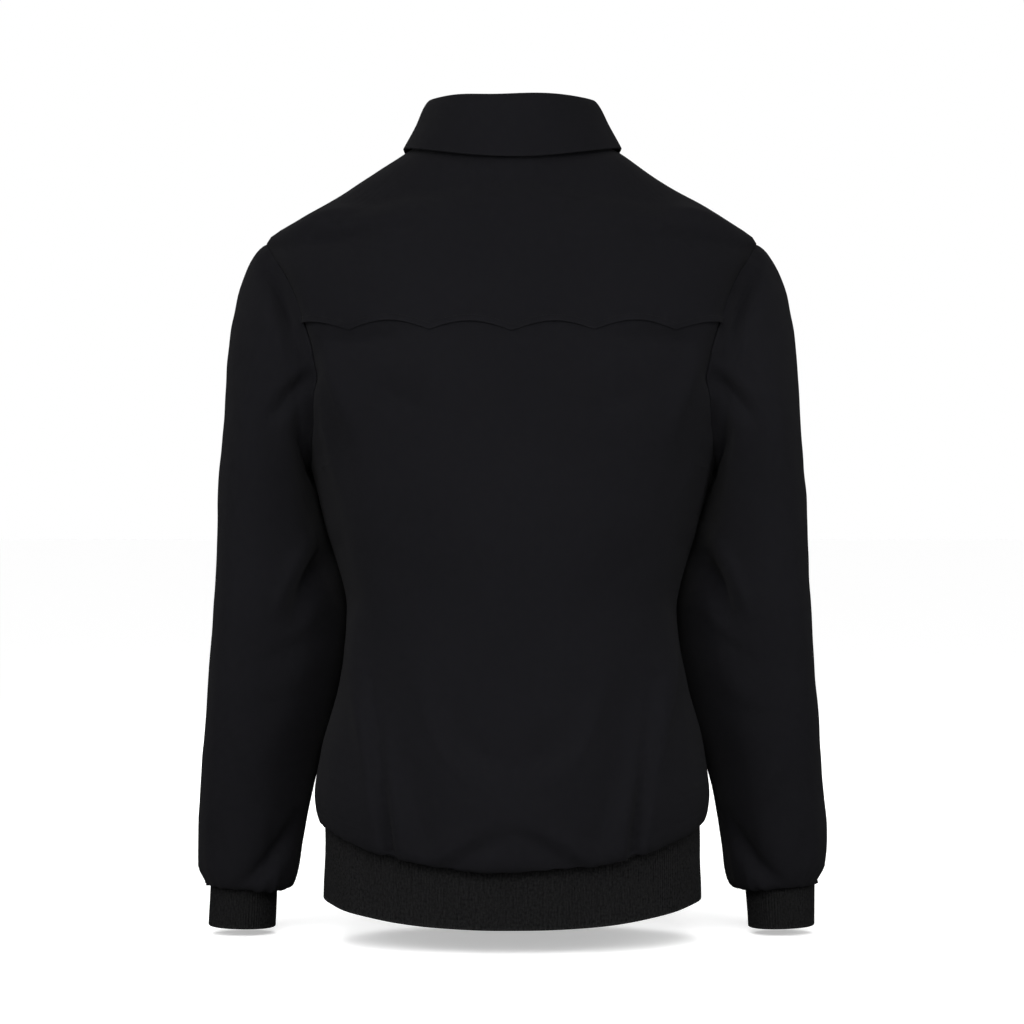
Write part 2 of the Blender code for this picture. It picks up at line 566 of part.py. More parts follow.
def even_angles(surface, start, end, count):
    """Angles that divide the length of a surface's first ring evenly."""
    fine = np.linspace(start, end, 20 * count)
    points = surface(np.zeros_like(fine), fine)
    length = np.concatenate([[0], np.cumsum(np.linalg.norm(np.diff(points, axis=0), axis=1))])
    return np.interp(np.linspace(0, length[-1], count), length, fine)


def rib_lift(columns):
    """Every second column stands out, so that the wall is ribbed outside and plain inside."""
    return np.where(np.arange(columns) % 2 == 1, 0.0, -RIB_RAISE)


def ribbed_wall(surface, downs, angles, flip=1):
    """A knit wall whose ribs are raised in its outer points over a plain inside."""
    down, angle = np.meshgrid(downs, angles, indexing="ij")
    lift = rib_lift(len(angles))[None, :]
    outer = wall_points(surface, down, angle, KNIT, lift=lift, flip=flip, folded=False)[0]
    inner = wall_points(surface, down, angle, KNIT + RIB_RAISE, flip=flip, folded=False)[1]
    return outer, inner


def cuff_surface(along, angle):
    return loop_points(CUFF_LOOPS, along, angle)


def build_cuffs(collection):
    angles = even_angles(cuff_surface, 0, 2 * math.pi, 2 * CUFF_RIBS + 1)[:-1]
    walls = ribbed_wall(cuff_surface, column(CUFF_LOOPS, "along"), angles, flip=-1)
    add_pair(collection, "cuff", walls, KNIT_YARN, closed=True)


# ---------------------------------------------------------------- hem and collar
def hem_surface(down, angle):
    return ring_points(HEM_RINGS, down, angle)


def build_hem_rib(collection):
    end = math.pi - float(zip_angle(np.array(0.0), HEM_RINGS))
    angles = even_angles(hem_surface, -end, end, 2 * HEM_RIBS + 1)
    walls = ribbed_wall(hem_surface, column(HEM_RINGS, "down"), angles)
    add_wall(collection, "hem_rib", walls, KNIT_YARN)


def stand_surface(down, angle):
    """The collar stand, whose left end laps over its right end in front."""
    points = ring_points(STAND_RINGS, down, angle)
    lap = np.clip((angle - LAP_START) / LAP_TURN, 0, 1)
    points[..., 1] -= (COLLAR_CLOTH + 2 * GAP) * lap * lap * (3 - 2 * lap)
    return points


def build_collar_stand(collection):
    angles = np.linspace(STAND_RIGHT_END, STAND_LEFT_END, STAND_COLUMNS + 1)
    down, angle = np.meshgrid(STAND_DOWNS, angles, indexing="ij")
    walls = wall_points(stand_surface, down, angle, COLLAR_CLOTH, flip=-1, folded=False)
    add_wall(collection, "collar_stand", walls, JACKET_CLOTH)


def fall_surface(down, angle):
    return ring_points(FALL_RINGS, down, angle)


def build_collar_fall(collection):
    downs = np.array(FALL_DOWNS)
    end = FALL_END - FALL_SPREAD * (downs / downs[-1]) ** 2
    share = np.linspace(-1, 1, FALL_COLUMNS + 1)
    down = np.repeat(downs[:, None], len(share), axis=1)
    walls = wall_points(fall_surface, down, end[:, None] * share, COLLAR_CLOTH, folded=False)
    add_wall(collection, "collar_fall", walls, JACKET_CLOTH)


# ---------------------------------------------------------------- zip
def build_zip_tapes(collection, front):
    """A tape behind each front's edge, which runs on down behind the hem rib."""
    outer, inner = front
    columns = outer.shape[1] - 1
    edges = np.array([TAPE_OUTER_X, TAPE_INNER_X])
    last = outer[:, -1, 0][:, None]
    share = 1 - (edges - last) / (outer[:, -2, 0][:, None] - last) / columns
    row = np.broadcast_to(np.arange(len(share))[:, None], share.shape)
    body_part = lying_on(front, row, share, -(CLOTH + 2 * GAP + TAPE), TAPE)
    down = np.repeat(np.array(TAPE_RIB_DOWNS)[:, None], 2, axis=1)
    angle = math.pi - angle_to_reach(edges, HEM_HALF, HEM_RINGS[0].square) * np.ones_like(down)
    rib_inside = -(KNIT + RIB_RAISE + 2 * GAP)
    rib_part = wall_points(hem_surface, down, angle, TAPE, lift=rib_inside, folded=False)
    walls = tuple(np.concatenate(skins) for skins in zip(body_part, rib_part))
    add_pair(collection, "zip_tape", walls, TAPE_YARN)


def box_object(collection, name, size, place=(0, 0, 0), edge=0.0, finish=None):
    """A box of a given size about a place, with its edges rounded."""
    mesh = bpy.data.meshes.new(name)
    shape = bmesh.new()
    bmesh.ops.create_cube(shape, size=1)
    bmesh.ops.scale(shape, vec=size, verts=shape.verts)
    bmesh.ops.translate(shape, vec=place, verts=shape.verts)
    shape.to_mesh(mesh)
    shape.free()
    thing = new_object(collection, name, mesh, finish)
    if edge:
        rounding = thing.modifiers.new("rounded_edges", "BEVEL")
        rounding.width = edge
        rounding.segments = 1
    return thing


def rod_object(collection, name, radius, length, place=(0, 0, 0), sides=16, finish=None):
    """A rod along X about a place."""
    mesh = bpy.data.meshes.new(name)
    shape = bmesh.new()
    bmesh.ops.create_cone(
        shape, cap_ends=True, segments=sides, radius1=radius, radius2=radius, depth=length,
        matrix=Matrix.Translation(place) @ Matrix.Rotation(math.pi / 2, 4, "Y"),
    )
    shape.to_mesh(mesh)
    shape.free()
    return new_object(collection, name, mesh, finish)


def boolean(thing, tool, operation):
    """Join a tool to an object or cut it away; the tool itself stays out of the jacket."""
    change = thing.modifiers.new(operation.lower() + "_" + tool.name, "BOOLEAN")
    change.operation = operation
    change.object = tool
    change.solver = "EXACT"
    tool.hide_render = True
    tool.display_type = "WIRE"


def zip_frame(down):
    """A frame on the front middle line: X across, -Y straight out of the cloth, Z up along it."""
    place = Vector(body_surface(np.array(down), np.array(math.pi)))
    out = Vector(surface_normals(body_surface, np.array(down), np.array(math.pi)))
    across = Vector((1, 0, 0))
    up = across.cross(-out)
    return Matrix((across, -out, up)).transposed().to_4x4(), place


def set_in_frame(thing, frame, place, spot):
    """Put an object, modelled about its own origin, at a spot of the zip's frame."""
    thing.matrix_world = Matrix.Translation(place + frame @ Vector(spot)) @ frame


def join_tools(thing, tools, operation):
    """Join tools to an object, or cut them away, and let them move with it."""
    for tool in tools:
        boolean(thing, tool, operation)
        tool.parent = thing


def build_zip_slider(collection, tools):
    """The slider: a plate over the teeth with two lugs that carry the pull tab's pin."""
    frame, place = zip_frame(SLIDER_DOWN)
    slider = box_object(collection, "zip_slider", SLIDER_SIZE, edge=SLIDER_EDGE, finish=ZIP_METAL)
    lug_y = LUG_ROOT - SLIDER_SIZE[1] / 2 - LUG_SIZE[1] / 2
    lugs = [
        box_object(tools, name, LUG_SIZE, (x, lug_y, PIN_Z), edge=LUG_EDGE)
        for name, x in (("lug_left", LUG_X), ("lug_right", -LUG_X))
    ]
    pin = rod_object(tools, "pin", PIN_RADIUS, 2 * LUG_X, (0, -PIN_OUT, PIN_Z))
    join_tools(slider, lugs + [pin], "UNION")
    set_in_frame(slider, frame, place, (0, -SLIDER_OUT, 0))


def build_zip_pull(collection, tools):
    """The pull tab, whose eye turns on the slider's pin; its origin is on that pin."""
    frame, place = zip_frame(SLIDER_DOWN)
    pull = rod_object(collection, "zip_pull", EYE_RADIUS, EYE_WIDTH, sides=20, finish=ZIP_METAL)
    neck = box_object(tools, "neck", NECK_SIZE, (0, 0, -NECK_ROOT - NECK_SIZE[2] / 2))
    tab = box_object(tools, "tab", PULL_SIZE, (0, 0, -PULL_TOP - PULL_SIZE[2] / 2), edge=PULL_EDGE)
    bore = rod_object(tools, "bore", EYE_BORE, 3 * EYE_WIDTH, sides=20)
    slot = rod_object(tools, "slot", SLOT_RADIUS, 3 * EYE_WIDTH, sides=20)
    slot.matrix_world = Matrix.Translation((0, 0, SLOT_Z)) @ Matrix.Rotation(math.pi / 2, 4, "Z")
    join_tools(pull, [neck, tab], "UNION")
    join_tools(pull, [bore, slot], "DIFFERENCE")
    set_in_frame(pull, frame, place, (0, -(SLIDER_OUT + PIN_OUT), PIN_Z))


def build_zip_box(collection):
    """The retaining box at the foot of the zip, between the ends of the hem rib."""
    foot = hem_surface(np.array(ZIP_BOX_DOWN), np.array(math.pi))
    box = box_object(collection, "zip_box", ZIP_BOX_SIZE, edge=ZIP_BOX_EDGE, finish=ZIP_METAL)
    box.location = (0, foot[1] + ZIP_BOX_OUT, foot[2])


# ---------------------------------------------------------------- pockets and buttons
def front_place(front, x, z):
    """The row and the share along it where a front has a given x and z."""
    row = SEARCH_START * len(front[0]) * np.ones_like(x)
    share = SEARCH_START * np.ones_like(x)
    for _ in range(SEARCH_ROUNDS):
        spot = read_grid(front[0], row, share)
        row = row + (spot[..., 2] - z) * ROWS_PER_METRE
        share = share + (spot[..., 0] - x) * SHARES_PER_METRE
    return row, share


def flap_place(along, across):
    """x and z of a spot on the slanted flap, from its middle."""
    lean = math.sin(FLAP_SLANT)
    drop = math.cos(FLAP_SLANT)
    return FLAP_X + along * lean + across * drop, FLAP_Z - along * drop + across * lean


def build_pocket_flaps(collection, front):
    """Slanted flaps: sewn along the edge nearer the zip, lying down towards the side."""
    along, across = np.meshgrid(
        np.linspace(-FLAP_LENGTH / 2, FLAP_LENGTH / 2, FLAP_COLUMNS + 1),
        np.linspace(-FLAP_WIDTH / 2, FLAP_WIDTH / 2, FLAP_ROWS + 1),
    )
    row, share = front_place(front, *flap_place(along, across))
    lift = FLAP_REST + FLAP_LIFT * (across / FLAP_WIDTH + 0.5) ** 2
    walls = lying_on(front, row, share, lift, 2 * CLOTH)
    add_pair(collection, "pocket_flap", walls, JACKET_CLOTH)


def add_button(collection, name, place, outward, radius):
    """A flat button of a given radius that stands just off the cloth under it."""
    mesh = bpy.data.meshes.new(name)
    shape = bmesh.new()
    bmesh.ops.create_cone(
        shape, cap_ends=True, segments=16, radius1=radius, radius2=radius, depth=BUTTON_THICK
    )
    shape.to_mesh(mesh)
    shape.free()
    button = new_object(collection, name, mesh, BUTTON_PLASTIC)
    rounding = button.modifiers.new("rounded_rim", "BEVEL")
    rounding.width = BUTTON_RIM
    rounding.segments = 1
    rounding.limit_method = "ANGLE"
    out = Vector(outward).normalized()
    turn = Vector((0, 0, 1)).rotation_difference(out).to_matrix().to_4x4()
    spot = Vector(place) + out * (BUTTON_CLEAR + BUTTON_THICK / 2)
    button.matrix_world = Matrix.Translation(spot) @ turn


def build_collar_buttons(collection):
    angle = np.array(COLLAR_BUTTON_ANGLE)
    for name, down in COLLAR_BUTTON_DOWNS:
        place = stand_surface(np.array(down), angle)
        outward = -surface_normals(stand_surface, np.array(down), angle)
        add_button(collection, name, place, outward, COLLAR_BUTTON_RADIUS)


def build_pocket_buttons(collection, front):
    row, share = front_place(front, *flap_place(np.array(0.0), np.array(FLAP_BUTTON_ACROSS)))
    outer, inner = (read_grid(skin, row, share) for skin in front)
    outward = (outer - inner) / np.linalg.norm(outer - inner)
    flap_face = outer + outward * (FLAP_REST + FLAP_LIFT + 2 * CLOTH)
    for name, side in (("pocket_button_left", 1), ("pocket_button_right", -1)):
        flip = np.array([side, 1, 1])
        add_button(collection, name, flap_face * flip, outward * flip, POCKET_BUTTON_RADIUS)


def main():
    clear_scene()
    jacket = new_collection("harrington_jacket")
    tools = new_collection("cutters")
    back = build_back(jacket)
    front = build_fronts(jacket)
    build_back_yoke(jacket, back)
    build_sleeves(jacket)
    build_cuffs(jacket)
    build_hem_rib(jacket)
    build_collar_stand(jacket)
    build_collar_fall(jacket)
    build_zip_tapes(jacket, front)
    build_zip_slider(jacket, tools)
    build_zip_pull(jacket, tools)
    build_zip_box(jacket)
    build_pocket_flaps(jacket, front)
    build_collar_buttons(jacket)
    build_pocket_buttons(jacket, front)


main()
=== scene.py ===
# %% [markdown]
# # A harrington jacket in twill and rib knit
#
# This lesson dresses a finished frame: the solids of a short zip jacket, hollow as if worn. Each
# solid has the right size and place but a coarse, plain surface. We lay a fine, thin shell on each
# one, then add what a tailor adds: ribs, topstitching, zip teeth and buttons. Last come the cloth,
# the light and the camera.
#
# The whole object is in metres, +Z up. The wearer faces -Y, and the wearer's left is at +X.

import math
from collections import namedtuple
from functools import partial

import bmesh
import bpy
import numpy as np
from mathutils import Matrix, Vector


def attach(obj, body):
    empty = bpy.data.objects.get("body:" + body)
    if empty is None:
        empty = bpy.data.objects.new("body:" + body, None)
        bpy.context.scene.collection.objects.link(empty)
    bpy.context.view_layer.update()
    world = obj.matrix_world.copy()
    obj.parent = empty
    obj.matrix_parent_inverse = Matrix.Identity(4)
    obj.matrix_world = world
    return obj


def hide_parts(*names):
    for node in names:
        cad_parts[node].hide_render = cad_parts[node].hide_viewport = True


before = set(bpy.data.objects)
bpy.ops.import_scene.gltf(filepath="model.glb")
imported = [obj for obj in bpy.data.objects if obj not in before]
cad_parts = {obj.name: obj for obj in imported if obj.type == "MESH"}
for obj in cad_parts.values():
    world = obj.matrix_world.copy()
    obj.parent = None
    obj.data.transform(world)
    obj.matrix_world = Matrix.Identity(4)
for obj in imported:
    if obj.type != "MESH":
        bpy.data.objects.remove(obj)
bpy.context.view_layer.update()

# %% [markdown]
# ## The form, as rings
#
# Cloth that is worn is smooth almost everywhere, so a handful of sections says nearly all about
# its form. The body is a stack of rings from the neck seam to the hem. The sleeve is a stack of
# loops that turn from the upright armhole to the level cuff. We could sculpt this by hand or drape
# it with a simulation, but a table of sections can be read, checked and changed, and it gives a
# point at any place that we ask for. The same tables shape the solids, so the shells fit them.

# %% Sizes
GAP = 0.0003                # left between pieces at a seam
NECK_HALF = 0.080           # half widths of the body, from the neck down
SHOULDER_HALF = 0.2135
CHEST_HALF = 0.177
WAIST_HALF = 0.1455
BLOUSE_HALF = 0.1734
HEM_HALF = 0.1643
SHOULDER_DOWN = 0.100       # measured down the cloth from the neck seam
UNDERARM_DOWN = 0.282
HEM_SEAM_DOWN = 0.640
SLEEVE_CLEAR = 0.00045      # between armhole and sleeve
SLEEVE_PROUD = 0.0016       # the sleeve's head stands this far over the body
SLEEVE_EASE = 0.150         # over this length the armhole's edge eases into the loops
BACK_ARMHOLE_REACH = math.radians(35)       # how far round the body the armhole cuts
FRONT_ARMHOLE_REACH = math.radians(41)
ARMHOLE_ROUNDNESS = 0.62
ZIP_HALF_WIDTH = 0.0034
COLLAR_CLOTH = 0.0019       # thickness of band and leaf
print("from neck seam to hem seam:", HEM_SEAM_DOWN, "m, half of the shoulders:", SHOULDER_HALF, "m")

# %% [markdown]
# A ring is known by three points: at its side, in the middle of the back and in the middle of the
# front. Its last size says how square it is. At 2 it is an ellipse, and above that its corners are
# pushed out, since a worn jacket is squarer than an egg.

# %% Rings of body, hem and collar
Ring = namedtuple("Ring", "name down side_x side_z back_y back_z front_y front_z square")
BODY_RINGS = [
    Ring("neck seam", 0.000, NECK_HALF, 0.007, 0.072, -0.004, -0.088, -0.072, 2.00),
    Ring("neck base", 0.020, 0.103, -0.007, 0.083, -0.021, -0.096, -0.092, 2.02),
    Ring("shoulder slope", 0.058, 0.1515, -0.0380, 0.101, -0.055, -0.109, -0.123, 2.10),
    Ring("shoulder end", 0.084, 0.1865, -0.0595, 0.1105, -0.080, -0.1165, -0.145, 2.42),
    Ring("shoulder point", SHOULDER_DOWN, SHOULDER_HALF, -0.0785, 0.115, -0.096, -0.120, -0.157, 2.10),
    Ring("across back", 0.160, 0.2130, -0.142, 0.1245, -0.156, -0.130, -0.198, 2.20),
    Ring("low armhole", 0.222, 0.2010, -0.212, 0.127, -0.218, -0.135, -0.240, 2.35),
    Ring("underarm", UNDERARM_DOWN, CHEST_HALF, -0.276, 0.126, -0.278, -0.137, -0.281, 2.35),
    Ring("rib cage", 0.338, 0.1615, -0.334, 0.124, -0.334, -0.136, -0.335, 2.30),
    Ring("waist", 0.404, WAIST_HALF, -0.400, 0.121, -0.400, -0.133, -0.400, 2.25),
    Ring("high hip", 0.472, 0.1530, -0.462, 0.122, -0.468, -0.132, -0.468, 2.25),
    Ring("bag", 0.540, 0.1690, -0.524, 0.127, -0.535, -0.134, -0.534, 2.30),
    Ring("widest bag", 0.585, BLOUSE_HALF, -0.560, 0.132, -0.580, -0.136, -0.574, 2.35),
    Ring("bag turns", 0.611, 0.1718, -0.574, 0.1315, -0.605, -0.1345, -0.594, 2.35),
    Ring("bag underside", 0.628, 0.1685, -0.5835, 0.1265, -0.6165, -0.1300, -0.6035, 2.35),
    Ring("hem seam", HEM_SEAM_DOWN, HEM_HALF + 0.0011, -0.5870, 0.1187, -0.6085, -0.1245, -0.6065, 2.35),
]
HEM_RINGS = [
    Ring("rib top", 0.000, HEM_HALF, -0.5885, 0.1172, -0.6060, -0.1230, -0.6070, 2.35),
    Ring("rib bottom", 0.062, HEM_HALF + 0.0012, -0.6520, 0.1185, -0.6670, -0.1232, -0.6640, 2.35),
]
STAND_RINGS = [
    Ring("stand foot", 0.000, NECK_HALF, 0.0074, 0.072, -0.0035, -0.088, -0.0715, 2.00),
    Ring("stand middle", 0.021, 0.0740, 0.0240, 0.066, 0.0170, -0.082, -0.0530, 2.00),
    Ring("stand top", 0.042, 0.0700, 0.0395, 0.0615, 0.0375, -0.078, -0.0350, 2.00),
]
FALL_RINGS = [
    Ring("roll inside", 0.000, 0.0682, 0.0404, 0.0597, 0.0384, -0.0762, -0.0341, 2.00),
    Ring("roll rises", 0.006, 0.0690, 0.0445, 0.0610, 0.0430, -0.0770, -0.0290, 2.00),
    Ring("roll top", 0.011, 0.0728, 0.0475, 0.0648, 0.0462, -0.0805, -0.0265, 2.00),
    Ring("roll outside", 0.016, 0.0764, 0.0440, 0.0688, 0.0435, -0.0850, -0.0290, 2.00),
    Ring("fall middle", 0.040, 0.0850, 0.0245, 0.0786, 0.0168, -0.0970, -0.0563, 2.00),
    Ring("fall edge", 0.068, 0.0958, 0.0045, 0.0846, -0.0100, -0.1080, -0.0935, 2.00),
]
print("rings:", len(BODY_RINGS), "for the body,", len(STAND_RINGS + FALL_RINGS), "for the collar")

# %% [markdown]
# A sleeve's loop is known by its outer and inner points, as seen from behind, and by its depth from
# front to back. The skew sets its outer side further back than its inner one.

# %% Loops of sleeve and cuff
Loop = namedtuple("Loop", "name along outer_x outer_z inner_x inner_z middle_y half_depth skew square")
SLEEVE_LOOPS = [
    Loop("armhole", 0.000, 0.2135, -0.0785, 0.1770, -0.2760, 0.000, 0.080, 0.000, 2.0),
    Loop("cap crown", 0.012, 0.2215, -0.0860, 0.1790, -0.2785, 0.000, 0.081, 0.003, 2.0),
    Loop("cap turns", 0.028, 0.2305, -0.1020, 0.1785, -0.2825, -0.001, 0.082, 0.008, 2.0),
    Loop("cap side", 0.048, 0.2390, -0.1260, 0.1765, -0.2880, -0.002, 0.082, 0.014, 2.0),
    Loop("cap foot", 0.078, 0.2450, -0.1580, 0.1728, -0.2960, -0.003, 0.081, 0.020, 2.05),
    Loop("upper arm", 0.122, 0.2487, -0.2030, 0.1685, -0.3070, -0.005, 0.079, 0.025, 2.1),
    Loop("biceps", 0.170, 0.2518, -0.2500, 0.1637, -0.3230, -0.007, 0.076, 0.028, 2.1),
    Loop("above elbow", 0.230, 0.2555, -0.3050, 0.1545, -0.3520, -0.010, 0.071, 0.030, 2.1),
    Loop("elbow", 0.300, 0.2590, -0.3720, 0.1432, -0.3930, -0.012, 0.065, 0.032, 2.1),
    Loop("below elbow", 0.365, 0.2635, -0.4350, 0.1464, -0.4430, -0.016, 0.060, 0.030, 2.1),
    Loop("forearm", 0.430, 0.2687, -0.5000, 0.1600, -0.5010, -0.022, 0.056, 0.025, 2.1),
    Loop("low forearm", 0.490, 0.2742, -0.5580, 0.1772, -0.5560, -0.029, 0.052, 0.014, 2.1),
    Loop("sleeve bag", 0.540, 0.2786, -0.6080, 0.1862, -0.6060, -0.035, 0.049, 0.005, 2.15),
    Loop("bag low", 0.562, 0.2778, -0.6285, 0.1895, -0.6310, -0.037, 0.046, 0.002, 2.15),
    Loop("bag turns", 0.577, 0.2712, -0.6425, 0.1950, -0.6470, -0.038, 0.041, 0.000, 2.1),
    Loop("bag underside", 0.586, 0.2710, -0.6445, 0.2020, -0.6495, -0.038, 0.0355, 0.000, 2.1),
    Loop("cuff seam", 0.596, 0.2700, -0.6370, 0.2070, -0.6410, -0.0385, 0.0322, 0.000, 2.1),
]
CUFF_LOOPS = [
    Loop("cuff top", 0.000, 0.2688, -0.6355, 0.2082, -0.6395, -0.0385, 0.0310, 0.000, 2.1),
    Loop("cuff bottom", 0.048, 0.2705, -0.6820, 0.2110, -0.6840, -0.0415, 0.0306, 0.000, 2.1),
]
SLEEVE_LENGTH = SLEEVE_LOOPS[-1].along
print("loops:", len(SLEEVE_LOOPS), "over a sleeve of", SLEEVE_LENGTH, "m")

# %% [markdown]
# Between two rows of a table we read each column with a cubic that never overshoots, so that a
# waist stays a waist and gets no ripples. The other helpers here are used all through the lesson: a
# soft step, a soft hump, vectors of length one, and the distance along a line.


# %% Reading a table
def column(table, name):
    return np.array([getattr(row, name) for row in table])


def read_between(position, knots, values):
    """Read a column between its rows, with a cubic that does not overshoot them."""
    widths = np.diff(knots)
    slopes = np.diff(values) / widths
    product = slopes[:-1] * slopes[1:]
    harmonic = 2 * product / np.where(product > 0, slopes[:-1] + slopes[1:], 1.0)
    tangents = np.concatenate([slopes[:1], np.where(product > 0, harmonic, 0.0), slopes[-1:]])
    index = np.clip(np.searchsorted(knots, position) - 1, 0, len(widths) - 1)
    width = widths[index]
    part = (position - knots[index]) / width
    rest = 1 - part
    start = rest * rest * (1 + 2 * part) * values[index] + part * rest * rest * width * tangents[index]
    end = part * part * (3 - 2 * part) * values[index + 1]
    return start + end - part * part * rest * width * tangents[index + 1]


def read_ring(rings, name, down):
    return read_between(down, column(rings, "down"), column(rings, name))


def read_row(table, place):
    """Every size of a table, at places between its rows."""
    knots = column(table, table[0]._fields[1])
    return [read_between(place, knots, column(table, name)) for name in table[0]._fields[2:]]


def smooth_step(value):
    """Rises from 0 to 1 with a soft start and end."""
    value = np.clip(value, 0, 1)
    return value * value * (3 - 2 * value)


def hump(distance, width=1.0):
    """Falls from 1 to almost nothing at twice the width."""
    return np.exp(-((distance / width) ** 2))


def unit(vectors):
    return vectors / np.linalg.norm(vectors, axis=-1, keepdims=True)


def lengths(points, axis=0):
    """Distance along a line, or along every line of a grid."""
    step = np.linalg.norm(np.diff(points, axis=axis), axis=-1)
    return np.concatenate([np.zeros_like(step.take([0], axis)), np.cumsum(step, axis)], axis)


waist = float(read_ring(BODY_RINGS, "side_x", np.array(0.404)))
print("half width read at the waist:", round(waist, 4), "m")

# %% [markdown]
# ## Surfaces from the tables
#
# A surface here is a function: it takes how far down and how far round, and gives the point. The
# normal is found by stepping a little each way, so it needs no formula of its own.

# %% Surfaces of body, hem, collar and cuff
LAP_START = math.radians(166)       # from here the stand's left end steps out over the right
LAP_TURN = math.radians(14)


def rounded(value, power):
    return np.sign(value) * np.abs(value) ** power


def ring_points(rings, down, angle):
    """Points of a body surface; angle is 0 at the middle back, 90 degrees at the left side."""
    side_x, side_z, back_y, back_z, front_y, front_z, square = read_row(rings, down)
    cosine = np.cos(angle)
    power = 2 / square
    reach_y = np.where(cosine >= 0, back_y, front_y)
    reach_z = np.where(cosine >= 0, back_z, front_z)
    x = side_x * rounded(np.sin(angle), power)
    y = reach_y * np.abs(cosine) ** power
    z = side_z + (reach_z - side_z) * cosine * cosine
    return np.stack([x, y, z], axis=-1)


def loop_points(loops, along, angle):
    """Points of a left sleeve; angle is 0 at the outer side, 90 degrees behind."""
    outer_x, outer_z, inner_x, inner_z, middle_y, half_depth, skew, square = read_row(loops, along)
    across = rounded(np.cos(angle), 2 / square)
    deep = rounded(np.sin(angle), 2 / square)
    x = (outer_x + inner_x) / 2 + (outer_x - inner_x) / 2 * across
    z = (outer_z + inner_z) / 2 + (outer_z - inner_z) / 2 * across
    return np.stack([x, middle_y + half_depth * deep + skew * across, z], axis=-1)


body_surface = partial(ring_points, BODY_RINGS)
hem_surface = partial(ring_points, HEM_RINGS)
fall_surface = partial(ring_points, FALL_RINGS)
cuff_surface = partial(loop_points, CUFF_LOOPS)


def stand_surface(down, angle):
    points = ring_points(STAND_RINGS, down, angle)
    points[..., 1] -= (COLLAR_CLOTH + 2 * GAP) * smooth_step((angle - LAP_START) / LAP_TURN)
    return points


def surface_normals(surface, first, second, step=0.0012):
    along_first = surface(first + step, second) - surface(first - step, second)
    along_second = surface(first, second + step) - surface(first, second - step)
    return unit(np.cross(along_second, along_first))


chest = body_surface(np.full(400, UNDERARM_DOWN), np.linspace(0, 2 * math.pi, 400))
print("chest round:", round(float(lengths(chest)[-1]), 3), "m")

# %% [markdown]
# A sleeve is sewn to the armhole, so its first loop is the armhole's own edge on the body. Further
# down it eases into the loops of its table. An ease that fades out does this without a step.


# %% Armhole and sleeve
def armhole_reach(down, reach):
    part = np.clip((down - SHOULDER_DOWN) / (UNDERARM_DOWN - SHOULDER_DOWN), 0, 1)
    return reach * np.abs(np.sin(math.pi * part)) ** ARMHOLE_ROUNDNESS


def armhole_place(turn):
    """Where the armhole's edge is; turn is 0 at the shoulder point, 90 degrees behind."""
    part = (1 - np.cos(turn)) / 2
    down = SHOULDER_DOWN + part * (UNDERARM_DOWN - SHOULDER_DOWN)
    behind = math.pi / 2 - armhole_reach(down, BACK_ARMHOLE_REACH)
    before = math.pi / 2 + armhole_reach(down, FRONT_ARMHOLE_REACH)
    return down, np.where(np.sin(turn) >= 0, behind, before)


def sleeve_surface(along, angle):
    """The left sleeve: the armhole's own edge, raised a little, that eases into the loops."""
    place = armhole_place(angle)
    fade_under = (1 + np.cos(angle))[..., None] / 2
    head = body_surface(*place) + SLEEVE_PROUD * surface_normals(body_surface, *place) * fade_under
    misfit = head - loop_points(SLEEVE_LOOPS, np.zeros_like(along), angle)
    points = loop_points(SLEEVE_LOOPS, along, angle)
    points += misfit * smooth_step(1 - along / SLEEVE_EASE)[..., None]
    return points + np.array([SLEEVE_CLEAR, 0, 0])


armhole = body_surface(*armhole_place(np.linspace(0, 2 * math.pi, 400)))
print("armhole round:", round(float(lengths(armhole)[-1]), 3), "m")

# %% [markdown]
# ## Folds, creases and waves
#
# Cloth folds where it has spare length: under the arms, inside the elbow, and where a gathered
# bag of cloth turns under at a tight rib. Each fold here is a soft ridge, or a trough where its
# height is negative, along a bent line that is drawn as seen from straight behind or in front. Bump
# mapping would cost less, but it would not change the outline or cast a shadow, so the folds move
# real points. The table is in millimetres, and its last number makes one flank steeper.

